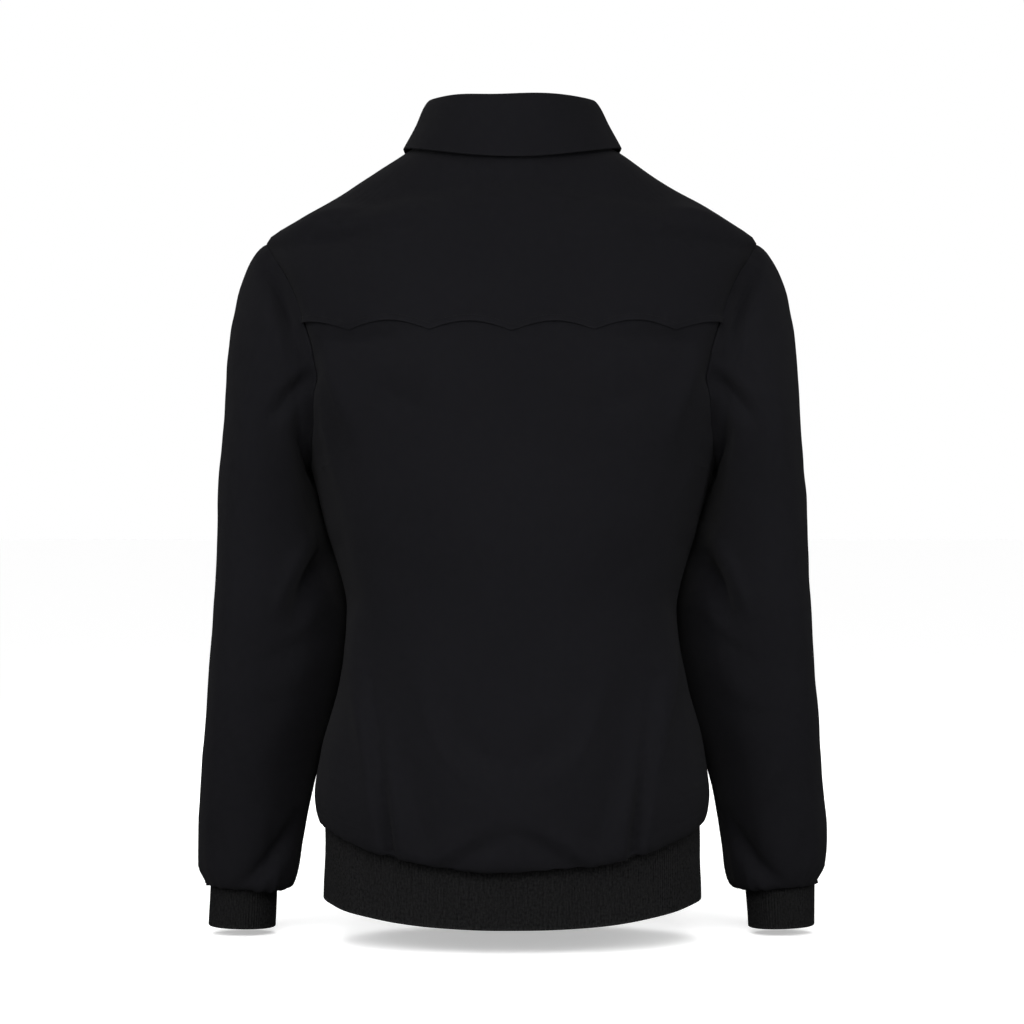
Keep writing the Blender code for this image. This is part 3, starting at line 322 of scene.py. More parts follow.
# %% Fold table
Fold = namedtuple("Fold", "name side start bend end width height lean")
BOTH, LEFT, RIGHT = 0, 1, -1
BACK_FOLDS = [
    Fold("back shoulder trough", BOTH, (182, -86), (139, -94), (94, -90), 14, -2.8, 0),
    Fold("yoke shadow", BOTH, (170, -185), (140, -166), (90, -170), 13, -2.6, 0),
    Fold("back side fold", BOTH, (139, -415), (124, -500), (100, -600), 16, 4, 0),
    Fold("back side hollow", BOTH, (112, -440), (98, -520), (72, -602), 18, -3, 0),
    Fold("back drape", BOTH, (80, -500), (66, -545), (12, -566), 16, 3, 0),
    Fold("back hem peak", BOTH, (0, -572), (18, -590), (48, -612), 13, -3, 0),
    Fold("sleeve pull", BOTH, (184, -186), (197, -208), (216, -232), 12, -3, 0),
    Fold("elbow fold", BOTH, (160, -345), (178, -372), (192, -408), 13, -4.2, 0),
    Fold("cuff fold", BOTH, (203, -585), (202, -618), (232, -638), 12, -3.6, 0),
    Fold("hollow by the collar", BOTH, (132, -46), (86, -34), (10, -30), 16, -5.4, 0.2),
    Fold("shoulder ridge", BOTH, (196, -68), (168, -61), (140, -56), 7, 3.8, 0.3),
    Fold("shoulder trough core", BOTH, (204, -82), (148, -77), (84, -73), 8, -5.6, -0.3),
    Fold("sleeve head trough", BOTH, (212, -96), (200, -126), (179, -184), 10, -8.4, 0.2),
    Fold("crease by the armhole", BOTH, (218, -98), (201, -130), (187, -178), 5.5, -5.6, 0),
    Fold("armhole trough", BOTH, (182, -170), (176, -205), (172, -262), 10, -4.6, 0.2),
    Fold("inner sleeve trough", BOTH, (182, -246), (167, -316), (150, -384), 12, -6.4, 0.3),
    Fold("sleeve crease core", BOTH, (172, -194), (185, -204), (205, -232), 6, -6.4, 0.3),
    Fold("ridge by the crease", BOTH, (186, -190), (198, -202), (212, -222), 8, 2.6, 0.3),
    Fold("upper sleeve line", BOTH, (206, -150), (224, -200), (232, -270), 12, 1.8, 0.3),
    Fold("armpit ridge", BOTH, (160, -180), (150, -206), (136, -248), 9, 3.4, 0.3),
    Fold("low armpit trough", LEFT, (160, -230), (150, -262), (140, -300), 9, -1.8, 0.3),
    Fold("low armpit trough", RIGHT, (161, -236), (152, -268), (138, -296), 9, -1.7, 0.3),
    Fold("under the yoke", BOTH, (166, -172), (132, -164), (92, -167), 6, -3.2, 0.3),
    Fold("shoulder blade", LEFT, (116, -206), (96, -222), (70, -226), 14, -2.2, 0.2),
    Fold("shoulder blade", RIGHT, (118, -208), (94, -222), (66, -228), 14, -2.1, 0.2),
    Fold("waist shadow", LEFT, (132, -330), (110, -362), (84, -372), 16, -1.2, 0.2),
    Fold("waist shadow", RIGHT, (131, -324), (108, -358), (80, -374), 16, -1.1, 0.2),
    Fold("side ridge", BOTH, (142, -416), (131, -470), (121, -530), 10, 2.6, 0.4),
    Fold("side trough core", BOTH, (120, -456), (112, -545), (101, -620), 5.5, -5.6, 0),
    Fold("side crease, low", BOTH, (111, -546), (107, -590), (101, -622), 5, -4.2, 0),
    Fold("bag dent", LEFT, (88, -556), (80, -580), (70, -606), 8, -2.0, 0.2),
    Fold("bag dent", RIGHT, (90, -552), (79, -578), (72, -604), 8, -1.9, 0.2),
    Fold("hanging drape", BOTH, (78, -462), (60, -528), (26, -544), 11, 3.4, 0.4),
    Fold("middle dip", LEFT, (56, -490), (34, -522), (6, -526), 15, -3.0, 0.2),
    Fold("middle dip", RIGHT, (58, -494), (36, -524), (4, -528), 15, -2.9, 0.2),
    Fold("peak over the hem", BOTH, (78, -617), (42, -590), (0, -574), 8, 3.2, 0.3),
    Fold("elbow core", BOTH, (159, -346), (173, -368), (186, -404), 7, -5.6, 0.3),
    Fold("elbow ridge", BOTH, (172, -332), (190, -360), (202, -398), 9, 3.6, 0.3),
    Fold("elbow second fold", LEFT, (166, -412), (184, -432), (206, -438), 9, -1.8, 0.4),
    Fold("elbow second fold", RIGHT, (166, -408), (182, -430), (204, -440), 9, -1.9, 0.4),
    Fold("elbow third fold", LEFT, (176, -466), (196, -482), (222, -482), 10, -1.2, 0.3),
    Fold("elbow third fold", RIGHT, (178, -474), (198, -488), (218, -490), 10, -1.2, 0.3),
    Fold("forearm twist", LEFT, (240, -500), (226, -540), (200, -572), 11, 2.0, 0.3),
    Fold("forearm twist", RIGHT, (242, -512), (228, -548), (204, -580), 11, 1.9, 0.3),
    Fold("cuff fold core", BOTH, (190, -580), (204, -618), (240, -642), 6, -3.4, 0.4),
    Fold("cuff bag ridge", BOTH, (192, -600), (202, -630), (222, -646), 7, 2.2, 0.2),
    Fold("cuff bag dent", BOTH, (258, -590), (262, -612), (252, -634), 9, -2.0, 0.3),
]
FRONT_FOLDS = [
    Fold("chest pull", BOTH, (172, -205), (140, -222), (92, -215), 16, -2.6, 0),
    Fold("front side fold", BOTH, (136, -470), (126, -530), (112, -594), 16, 3.2, 0),
    Fold("front hollow", BOTH, (52, -470), (48, -530), (40, -588), 16, -2.6, 0),
    Fold("front sleeve pull", BOTH, (180, -205), (196, -232), (220, -252), 12, -3, 0),
    Fold("inner elbow crease", BOTH, (164, -372), (200, -392), (246, -384), 13, -4.4, 0),
    Fold("second elbow crease", BOTH, (170, -432), (204, -446), (240, -430), 13, -3.4, 0),
    Fold("front cuff fold", BOTH, (206, -590), (222, -622), (252, -632), 12, -3.4, 0),
    Fold("front armhole trough", BOTH, (194, -140), (178, -190), (170, -262), 10, -3.6, 0.2),
    Fold("front armhole pull", LEFT, (164, -235), (146, -262), (106, -276), 9, 2.0, 0.3),
    Fold("front armhole pull", RIGHT, (163, -242), (144, -270), (110, -290), 9, 1.9, 0.3),
    Fold("chest fall", LEFT, (118, -190), (110, -250), (112, -340), 14, 2.0, 0.2),
    Fold("chest fall", RIGHT, (120, -195), (113, -250), (110, -330), 14, 1.9, 0.2),
    Fold("front waist pull", LEFT, (136, -388), (108, -398), (60, -390), 10, -1.8, 0.2),
    Fold("front waist pull", RIGHT, (135, -380), (104, -394), (56, -400), 10, -1.9, 0.2),
    Fold("front side trough", BOTH, (124, -500), (116, -556), (104, -616), 8, -2.4, 0.4),
    Fold("front drape", LEFT, (76, -520), (58, -566), (18, -584), 10, 2.2, 0.3),
    Fold("front drape", RIGHT, (74, -528), (56, -570), (16, -590), 10, 2.1, 0.3),
    Fold("front sleeve line", BOTH, (206, -160), (222, -210), (228, -280), 12, 1.8, 0.3),
    Fold("inner elbow core", BOTH, (158, -364), (184, -388), (228, -386), 7, -3.6, 0.3),
    Fold("third elbow crease", LEFT, (174, -330), (206, -344), (240, -332), 8, -2.8, 0.4),
    Fold("third elbow crease", RIGHT, (175, -322), (208, -338), (238, -330), 8, -3.0, 0.4),
    Fold("front forearm twist", BOTH, (196, -500), (216, -535), (246, -560), 10, 2.0, 0.3),
    Fold("front cuff core", BOTH, (204, -594), (222, -628), (250, -636), 7, -2.6, 0.3),
]
print("folds:", len(BACK_FOLDS), "behind and", len(FRONT_FOLDS), "in front")

# %% [markdown]
# A fold raises each point by its distance from the fold's line. Under the folds run faint, broad
# waves, since no hanging cloth is quite true.

# %% Folds and waves as heights
MM = 0.001
FOLD_END_SHARE = 0.35       # what is left of a fold's height at its ends
FOLD_DEPTH = 1.35           # the shell's folds are this much deeper than the frame's
FOLD_SAMPLES = 25
FOLD_MARGIN = 3             # a fold is felt this many widths away
WAVE_COUNT = 14
Wave = namedtuple("Wave", "length height seed")
BODY_WAVES = [Wave(0.110, 0.0006, 3), Wave(0.034, 0.00012, 5)]
SLEEVE_WAVES = [Wave(0.110, 0.0006, 7), Wave(0.034, 0.00012, 9)]


def bent_line(fold):
    step = np.linspace(0, 1, FOLD_SAMPLES)[:, None]
    start, bend, end = (np.array(spot) * MM for spot in (fold.start, fold.bend, fold.end))
    return (1 - step) ** 2 * start + 2 * step * (1 - step) * bend + step ** 2 * end


def fold_height(fold, line, flat):
    """A fold's height at flat spots near its line."""
    width = fold.width * MM
    tangent = unit(np.gradient(line, axis=0))
    offset = flat[:, None, :] - line
    nearest = np.linalg.norm(offset, axis=-1).argmin(axis=-1)
    offset = offset[np.arange(len(nearest)), nearest]
    across = offset[:, 0] * tangent[nearest, 1] - offset[:, 1] * tangent[nearest, 0]
    reach = np.linalg.norm(offset, axis=-1) / (width * (1 + fold.lean * np.tanh(2 * across / width)))
    taper = FOLD_END_SHARE + (1 - FOLD_END_SHARE) * np.sin(math.pi * nearest / (FOLD_SAMPLES - 1))
    return FOLD_DEPTH * fold.height * MM * taper * hump(reach)


def fold_relief(points, normals):
    """How far the folds raise each point."""
    height = np.zeros(points.shape[:-1])
    for face, folds in ((1, BACK_FOLDS), (-1, FRONT_FOLDS)):
        facing = np.clip(normals[..., 1] * face * 2, 0, 1)
        for fold in folds:
            line = bent_line(fold)
            sideways = np.abs(points[..., 0]) if fold.side == BOTH else fold.side * points[..., 0]
            flat = np.stack([sideways, points[..., 2]], axis=-1)
            margin = FOLD_MARGIN * fold.width * MM
            inside = (flat > line.min(0) - margin) & (flat < line.max(0) + margin)
            near = (facing > 0) & np.all(inside, axis=-1)
            if near.any():
                height[near] += fold_height(fold, line, flat[near]) * facing[near]
    return height


def waves(points, wave):
    """Faint waves that run every way, their sum about as high as the wave."""
    draw = np.random.default_rng(wave.seed)
    ways = unit(draw.normal(size=(WAVE_COUNT, 3)))
    ways *= 2 * math.pi / wave.length * draw.uniform(0.6, 1.5, (WAVE_COUNT, 1))
    starts = draw.uniform(0, 2 * math.pi, WAVE_COUNT)
    return wave.height * np.sin(points @ ways.T + starts).sum(-1) / math.sqrt(WAVE_COUNT / 2)


behind = np.array([[0.0, 0.12, -0.572]]), np.array([[0.0, 1.0, 0.0]])
print("height over the middle of the hem:", round(float(fold_relief(*behind)[0]) / MM, 2), "mm")

# %% [markdown]
# Where a full cloth is sewn to a tight one, it stands in small uneven pleats beside the seam: at
# the hem, at the cuffs and round the head of the sleeve. A tight seam also flattens the folds next
# to it. What lies on the body, such as yoke and flaps, takes the body's own relief.

# %% Gathers, and the relief of body and sleeve
Gather = namedtuple("Gather", "pleats reach height seed")
HEM_GATHER = Gather(58, 0.010, 0.0012, 11)
CUFF_GATHER = Gather(17, 0.015, 0.0019, 13)
CAP_GATHER = Gather(40, 0.006, 0.0006, 17)
SEAM_HOLD = 0.014           # a tight seam flattens the folds this far from it
SEAM_SINK = 0.0013          # back and yoke dip this much into the shoulder seam
SINK_REACH = 0.009
SHOULDER_DEPTH = 0.115      # turns an angle beside the shoulder seam into a length
UNDERARM_SINK = 0.0005      # the groove of the sleeve's own seam
UNDERARM_REACH = 0.0014
SLEEVE_RADIUS = 0.06        # turns an angle beside that seam into a length


def gathers(turn, away, gather):
    """Uneven pleats beside a seam: highest a little way off it, and gone beyond."""
    draw = np.random.default_rng(gather.seed)
    shift = draw.uniform(0, 2 * math.pi, 7)
    wander = sum(np.sin((k + 2) * turn + shift[k]) / (k + 2) for k in range(5))
    strength = 0.55 + 0.45 * np.sin(5 * turn + shift[5]) * np.sin(9 * turn + shift[6])
    crest = (0.5 + 0.5 * np.cos(gather.pleats * turn + 2.2 * wander)) ** 1.5
    reach = np.maximum(away, 0) / gather.reach
    return gather.height * (crest * strength * reach * np.exp(1 - reach))


def body_relief(down, angle, points, normals):
    """Relief of the body's cloth, shared by all that lies on it."""
    height = fold_relief(points, normals) + sum(waves(points, wave) for wave in BODY_WAVES)
    away = HEM_SEAM_DOWN - down
    height *= smooth_step(away / SEAM_HOLD) * smooth_step(down / SEAM_HOLD)
    from_seam = (math.pi / 2 - np.abs(angle)) * SHOULDER_DEPTH
    above_point = smooth_step((SHOULDER_DOWN - down) / SEAM_HOLD)
    height -= SEAM_SINK * above_point * hump(from_seam, SINK_REACH) * (from_seam >= 0)
    return height + gathers(angle, away, HEM_GATHER)


def sleeve_relief(along, angle, points, normals):
    """Relief of a sleeve: folds, the gathers into the cuff and round the cap, and its seam."""
    height = fold_relief(points, normals) + sum(waves(points, wave) for wave in SLEEVE_WAVES)
    height *= smooth_step((SLEEVE_LENGTH - along) / SEAM_HOLD)
    cuff = gathers(angle, SLEEVE_LENGTH - along, CUFF_GATHER)
    cap = gathers(angle, along, CAP_GATHER) * np.clip(np.cos(angle), 0, 1)
    seam = UNDERARM_SINK * hump((angle - math.pi) * SLEEVE_RADIUS, UNDERARM_REACH)
    return height + cuff + cap - seam


turns = np.linspace(0, 2 * math.pi, 2000)
pleats = gathers(turns, np.full(2000, HEM_GATHER.reach), HEM_GATHER)
print("highest pleat over the hem:", round(float(pleats.max()) / MM, 2), "mm")

# %% [markdown]
# ## One helper for every shell
#
# A shell is a grid of points with a second grid just inside it. The rims are rounded, because a
# cut edge is always turned and sewn, and two round rims side by side read as a seam. Building the
# grid ourselves, and not with Solidify, lets the rims round off, keeps the weave map in metres,
# and closes the mesh. Rows and columns crowd at the rims, where the form turns fast.


# %% Grids
RIM_STEPS = np.array([0.0, 0.00022, 0.0005, 0.0009, 0.0016, 0.0027, 0.0043])


def graded(start, end, step):
    """Positions from start to end that crowd at both ends."""
    room = RIM_STEPS[-1]
    count = max(2, int(round((end - start - 2 * room) / step)))
    middle = np.linspace(start + room, end - room, count + 1)
    return np.concatenate([start + RIM_STEPS[:-1], middle, (end - RIM_STEPS[:-1])[::-1]])


def shares(width, step):
    """Shares from 0 to 1 of a width, crowded at both ends."""
    return graded(0.0, width, step) / width


def both_ways(width, step):
    """The same from -1 to 1."""
    return shares(width, step) * 2 - 1


def spread(rows, columns):
    return np.repeat(rows[:, None], len(columns), axis=1)


def edge_distance(points, closed):
    """Distance of each grid point from the nearest rim, measured along the cloth."""
    down = lengths(points, 0)
    nearest = np.minimum(down, down[-1] - down)
    if closed:
        return nearest
    across = lengths(points, 1)
    return np.minimum(nearest, np.minimum(across, across[:, -1:] - across))


def cloth_map(points, closed):
    """Metres across and down the cloth, for the weave."""
    middle = points.shape[1] // 2
    if closed:
        points = np.concatenate([points, points[:, :1]], axis=1)
    across = lengths(points, 1)
    across -= across[:, middle:middle + 1]
    down = lengths(points[:, middle])
    return np.stack([across, np.broadcast_to(-down[:, None], across.shape)], axis=-1)


print("steps at a rim:", len(RIM_STEPS) - 1, "over", RIM_STEPS[-1], "m")

# %% [markdown]
# Two grids and the strips that join their rims make one closed mesh. Each face knows its places on
# the cloth map too, so that a tube can have a cut where its map starts and ends.


# %% Meshes from grids
def quads(grid):
    return np.stack([grid[:-1, :-1], grid[1:, :-1], grid[1:, 1:], grid[:-1, 1:]], axis=-1).reshape(-1, 4)


def strip(line, shift):
    return np.stack([line[:-1], line[1:], line[1:] + shift, line[:-1] + shift], axis=-1)


def grid_mesh(name, outer, inner, closed=False):
    """A closed mesh between two grids, and each corner's place on the cloth map."""
    rows, columns = outer.shape[:2]
    index = np.arange(rows * columns).reshape(rows, columns)
    if closed:
        index = np.concatenate([index, index[:, :1]], axis=1)
    corner = np.arange(index.size).reshape(index.shape)
    inside = rows * columns
    faces = [quads(index), quads(index)[:, ::-1] + inside]
    places = [quads(corner), quads(corner)[:, ::-1]]
    rims = [(index[0], corner[0]), (index[-1][::-1], corner[-1][::-1])]
    if not closed:
        rims += [(index[::-1, 0], corner[::-1, 0]), (index[:, -1], corner[:, -1])]
    for line, place in rims:
        faces.append(strip(line, inside))
        places.append(strip(place, 0))
    faces, places = np.concatenate(faces), np.concatenate(places)
    row, side = rows // 2, columns // 2
    spot = outer[row, side]
    facing = np.cross(outer[row + 1, side] - spot, outer[row, side + 1] - spot)
    if facing @ (spot - inner[row, side]) < 0:
        faces, places = faces[:, ::-1], places[:, ::-1]
    mesh = bpy.data.meshes.new(name)
    points = np.concatenate([outer.reshape(-1, 3), inner.reshape(-1, 3)])
    mesh.from_pydata(points.tolist(), [], faces.tolist())
    return mesh, places.reshape(-1)


def set_cloth_map(mesh, flat_cloth, places):
    layer = mesh.uv_layers.new(name="cloth")
    layer.data.foreach_set("uv", flat_cloth.reshape(-1, 2)[places].ravel())
    mesh.shade_smooth()


def set_attribute(mesh, name, values, kind="FLOAT"):
    field = "vector" if kind == "FLOAT_VECTOR" else "value"
    mesh.attributes.new(name, kind, "POINT").data.foreach_set(field, np.ravel(values))


print("a strip of two edges:", strip(np.arange(3), 10).tolist())

# %% [markdown]
# Each finished piece is an object at the origin that rides on a body of the frame, takes a finish
# and hides the frame's nodes that it stands for.

# %% Finishes and pieces
FINISHES = {
    "shell_twill": "twill", "rib_knit": "rib knit", "zip_tape": "zip tape", "button": "button plastic",
    "zip_metal": "black nickel", "thread": "thread",
}
SIDES = {"left": 1, "right": -1}
mats = {slot: bpy.data.materials.new(name) for slot, name in FINISHES.items()}
for material in mats.values():
    material.use_nodes = True
pieces = {}


def mirror(side):
    """Times this, a left piece's points become a right one's."""
    return np.array([side, 1, 1])


def link_object(name, data):
    made = bpy.data.objects.new(name, data)
    bpy.context.scene.collection.objects.link(made)
    return made


def new_piece(name, mesh, slot, stands_for=()):
    """A finished piece: it rides on the jacket, takes a slot's finish and hides the frame's nodes it stands
    for.
    """
    piece = link_object(name, mesh)
    if not mesh.materials:
        mesh.materials.append(mats[slot])
    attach(piece, "jacket")
    if stands_for:
        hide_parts(*stands_for)
    pieces[name] = piece
    print(f"{name}: {sum(len(p.vertices) - 2 for p in mesh.polygons)} triangles")


def cloth_area(name):
    """Half of a closed shell's surface, in square metres."""
    polygons = pieces[name].data.polygons
    areas = np.empty(len(polygons))
    polygons.foreach_get("area", areas)
    return round(float(areas.sum() / 2), 4)


print("finishes:", sorted(FINISHES.values()))

# %% [markdown]
# To make a shell we lay its outer points on a surface, raised by the relief, and sink a second
# grid under them. Where two pieces are sewn together, one of them runs on under the other as seam
# allowance, as it does in the real garment, so that no light shows through the seam.

# %% Shells
SHELL_CLOTH = 0.0011        # thickness of the shell cloth at a turned edge
RIM_LEAST = 0.2             # share of the thickness left at the very edge
ALLOWANCE = np.array([0.0065, 0.0045, 0.0026, 0.0013, 0.0006])      # rows of it, past the seam
TUCK = 0.0019               # how deep it lies under the neighbour
TUCK_REACH = 0.0013
ALLOWANCE_AIM = 4           # the row that shows which way the cloth runs on
DIP_REACH = 0.0024          # a sewn rim sinks over this width
WEAR_REACH = 0.0016         # and is rubbed over this one


def lay_on(surface, first, second, relief=None, lift=0.0, flip=1, side=1):
    """Points and outward normals on a surface, raised by its relief and a lift."""
    base = surface(first, second) * mirror(side)
    normals = flip * surface_normals(surface, first, second) * mirror(side)
    height = lift + (relief(first, second, base, normals) if relief else 0.0)
    return base + normals * np.broadcast_to(height, base.shape[:-1])[..., None], normals


def add_allowance(sheet, side, beyond=None, reach=1.0):
    """Adds rows of seam allowance past one side of a sheet, which dive under the neighbour."""
    if side == "left":
        return add_allowance(sheet.swapaxes(0, 1), "first", beyond, reach).swapaxes(0, 1)
    if side == "right":
        return add_allowance(sheet.swapaxes(0, 1)[::-1], "first", beyond, reach)[::-1].swapaxes(0, 1)
    edge, normals = sheet[0, :, :3], sheet[0, :, 3:6]
    if beyond is None:
        beyond = edge - sheet[ALLOWANCE_AIM, :, :3]
    rows = np.repeat(sheet[:1], len(ALLOWANCE), axis=0)
    depth = TUCK * smooth_step(ALLOWANCE / TUCK_REACH)[:, None, None]
    rows[..., :3] += unit(beyond) * ALLOWANCE[:, None, None] * reach - normals * depth
    return np.concatenate([rows, sheet])


def shell(name, points, normals, thickness=SHELL_CLOTH, dip=0.0, closed=False, seams=()):
    """A thin shell under its outer points, with round rims. Dip sinks it at the rims."""
    distance = edge_distance(points, closed)
    points = points - normals * (dip * hump(distance, DIP_REACH))[..., None]
    wear = hump(distance, WEAR_REACH)[..., None]
    sheet = np.concatenate([points, normals, wear], axis=-1)
    for seam in seams:
        sheet = add_allowance(sheet, **seam)
    points, normals, wear = sheet[..., :3], sheet[..., 3:6], sheet[..., 6]
    half = thickness / 2
    part = np.clip(edge_distance(points, closed) / half, 0, 1)
    plump = half * np.maximum(np.sqrt(1 - (1 - part) ** 2), RIM_LEAST)[..., None]
    middle = points - normals * half
    mesh, places = grid_mesh(name, middle + normals * plump, middle - normals * plump, closed)
    set_cloth_map(mesh, cloth_map(points, closed), places)
    set_attribute(mesh, "edge", [wear, wear])
    return mesh


print("seam allowance:", ALLOWANCE[0], "m")

# %% [markdown]
# ## Back and fronts
#
# The back is one piece from shoulder to hem. Its side edges run down the armhole, which eats into
# the panel between the shoulder point and the underarm. Each front is the same idea, cut off at
# the zip. On the real jacket these are flat cuts that take their form from the seams; here the
# rings hold the form, and the panel is simply a patch of it.


# %% Body panels
CLOTH_DIP = 0.0005          # a sewn rim sinks this much
BACK_WIDTH, FRONT_WIDTH = 0.42, 0.22        # about as wide as the panels are round
ACROSS_STEP = 0.0036
SHOULDER_STEP, BELOW_STEP = 0.0045, 0.0042
ARMHOLE_ROWS = 57
ROW_SLACK = 1e-4            # keeps the armhole's own rows from being doubled
SEAM_FADE = 0.006
ARMHOLE_SEAM_SHARE = 0.12   # the back's side allowance is narrow beside the armhole


def ring_angle(distance, half_size, square):
    """Angle from an axis of a ring to where it is a given distance off that axis."""
    return np.arcsin(np.clip(distance / half_size, 0, 1) ** (square / 2))


def panel_downs():
    """Rows of the body panels, close together at the armhole's ends and at the rims."""
    armhole = armhole_place(np.linspace(0, math.pi, ARMHOLE_ROWS))[0]
    shoulder = graded(0.0, 2 * SHOULDER_DOWN, SHOULDER_STEP)
    below = graded(0.0, HEM_SEAM_DOWN, BELOW_STEP)
    above = shoulder[shoulder < SHOULDER_DOWN - ROW_SLACK]
    return np.concatenate([above, armhole, below[below > UNDERARM_DOWN + ROW_SLACK]])


def side_angle(down, reach, depth_name):
    depth = np.abs(read_ring(BODY_RINGS, depth_name, down))
    square = read_ring(BODY_RINGS, "square", down)
    return np.maximum(ring_angle(GAP / 2, depth, square), armhole_reach(down, reach))


def back_edge(down):
    """Angle of the back's side edge at a row."""
    return math.pi / 2 - side_angle(down, BACK_ARMHOLE_REACH, "back_y")


def zip_angle(down, offset=ZIP_HALF_WIDTH, rings=BODY_RINGS):
    """Angle between the front middle line and a line a little way off it."""
    return ring_angle(offset, read_ring(rings, "side_x", down), read_ring(rings, "square", down))


downs = panel_downs()
across_back = both_ways(BACK_WIDTH, ACROSS_STEP)
back_angles = back_edge(downs)[:, None] * across_back
beside_front = smooth_step((SHOULDER_DOWN - downs) / SEAM_FADE)
beside_front += smooth_step((downs - UNDERARM_DOWN) / SEAM_FADE)
side_reach = np.maximum(beside_front, ARMHOLE_SEAM_SHARE)[:, None]
seams = [{"side": side, "reach": side_reach} for side in SIDES]
laid = lay_on(body_surface, spread(downs, across_back), back_angles, body_relief)
new_piece("back_panel", shell("back_panel", *laid, dip=CLOTH_DIP, seams=seams), "shell_twill", ["back"])

across_front = shares(FRONT_WIDTH, ACROSS_STEP)
front_start = math.pi / 2 + side_angle(downs, FRONT_ARMHOLE_REACH, "front_y")
front_end = math.pi - zip_angle(downs)
front_angles = front_start[:, None] + (front_end - front_start)[:, None] * across_front
for name, side in SIDES.items():
    laid = lay_on(body_surface, spread(downs, across_front), front_angles, body_relief, side=side)
    mesh = shell(f"front_panel_{name}", *laid, dip=CLOTH_DIP)
    new_piece(f"front_panel_{name}", mesh, "shell_twill", [f"front_{name}"])
print("cloth of the back:", cloth_area("back_panel"), "of a front:", cloth_area("front_panel_left"), "sq m")

# %% [markdown]
# ## The scalloped yoke
#
# The yoke is a second layer over the shoulders. It is sewn in at the neck, shoulders and armholes,
# and its lower edge hangs free in shallow arches that meet in points. We find that edge on the
# back's own surface, row by row, so the yoke follows each dip of the back and never cuts it. A line
# of stitches sinks a groove above the edge, and the edge itself stands off and curls a little.

# %% Yoke
YOKE_CUSP_Z = -0.1595       # height of the points between the arches
YOKE_RISE = 0.0078
YOKE_PITCH = 0.0695         # from one point to the next
YOKE_DROOP = 0.0022         # the middle point hangs lower
YOKE_REST = 0.0006          # air between back and yoke
YOKE_STITCH = 0.0052        # the topstitching runs this far above the edge
YOKE_TOP = 0.0004           # its top edge is this far below the neck seam
YOKE_CLOTH = 0.0013
YOKE_DIP = 0.0003
YOKE_INSET = 0.0015         # share of the width left free at each armhole
GROOVE, GROOVE_REACH = 0.00010, 0.0011      # pulled in by the stitches
PUCKER, PUCKER_PITCH = 0.00016, 0.0074      # small waves along the groove
ARCH_LIFT = 0.0012          # the edge stands off in the middle of each arch
END_LIFT = 0.0020           # and more towards its two ends
END_FROM, END_OVER = 0.150, 0.028
LIFT_REACH = 0.0055         # all of it gone this far above the edge


def scallop_z(x):
    arch = YOKE_RISE * np.abs(np.sin(math.pi * x / YOKE_PITCH))
    return YOKE_CUSP_Z - YOKE_DROOP * hump(x, YOKE_PITCH) + arch


def yoke_down(share, above=0.0):
    """How far down the back the yoke's edge is, or a line a little above it."""
    down = np.full_like(share, 0.16)
    for _ in range(40):
        spot = body_surface(down, back_edge(down) * share)
        down = down + (spot[..., 2] - scallop_z(spot[..., 0]) - above) * 0.8
    return down


def yoke_relief(down, angle, points, normals):
    """The back's relief, with the groove of the stitches and the lifted, curling edge."""
    x = points[..., 0]
    above = points[..., 2] - scallop_z(x)
    beside = (above - YOKE_STITCH) / GROOVE_REACH
    pucker = PUCKER * np.sin(2 * math.pi * x / PUCKER_PITCH) * hump(beside, 3)
    ends = np.clip((np.abs(x) - END_FROM) / END_OVER, 0, 1)
    arch = np.sin(math.pi * x / YOKE_PITCH) ** 2
    lift = (ARCH_LIFT * arch + END_LIFT * ends * ends) * hump(above, LIFT_REACH)
    return body_relief(down, angle, points, normals) + lift + pucker - GROOVE * hump(beside)


across_yoke = both_ways(0.40, 0.0022) * (1 - YOKE_INSET)
edge_down = yoke_down(across_yoke)
upper = graded(YOKE_TOP, 2 * SHOULDER_DOWN, 0.0040)
upper = upper[upper < SHOULDER_DOWN - ROW_SLACK]
lower = [np.linspace(0, 0.72, 18)[:-1], np.linspace(0.72, 0.985, 23), [0.991, 0.995, 0.998, 1.0]]
lower = np.concatenate(lower)
yoke_downs = np.concatenate([
    spread(upper, across_yoke),
    SHOULDER_DOWN + (edge_down - SHOULDER_DOWN)[None, :] * lower[:, None],
])
yoke_turns = back_edge(yoke_downs) * across_yoke
laid = lay_on(body_surface, yoke_downs, yoke_turns, yoke_relief, YOKE_REST + YOKE_CLOTH)
yoke_mesh = shell("yoke_panel", *laid, thickness=YOKE_CLOTH, dip=YOKE_DIP)
new_piece("yoke_panel", yoke_mesh, "shell_twill", ["back_yoke"])
print("cloth of the yoke:", cloth_area("yoke_panel"), "sq m")

# %% [markdown]
# ## Sleeves
#
# A sleeve is one tube, set into the armhole with a little ease, so its head stands a touch proud of
# the shoulder. Below, it is fuller than its cuff, and the spare cloth bags over the cuff in uneven
# pleats. The tube closes at the underarm seam, a shallow groove down the inner side.

# %% Sleeves
SLEEVE_COLUMNS = 116
SEAM_COLUMNS = np.array([-0.050, -0.032, -0.018, -0.008, 0.0, 0.008, 0.018, 0.032, 0.050])
SLEEVE_STEP = 0.0042
SLEEVE_DIP = 0.0004
SET_IN = 0.030              # over this length the sleeve's head takes the body's own relief


def sleeve_angles():
    """Even columns, with close ones at the underarm seam."""
    even = np.linspace(0, 2 * math.pi, SLEEVE_COLUMNS, endpoint=False)
    even = even[np.abs(even - math.pi) > SEAM_COLUMNS[-1] + 0.01]
    return np.sort(np.concatenate([even, math.pi + SEAM_COLUMNS]))


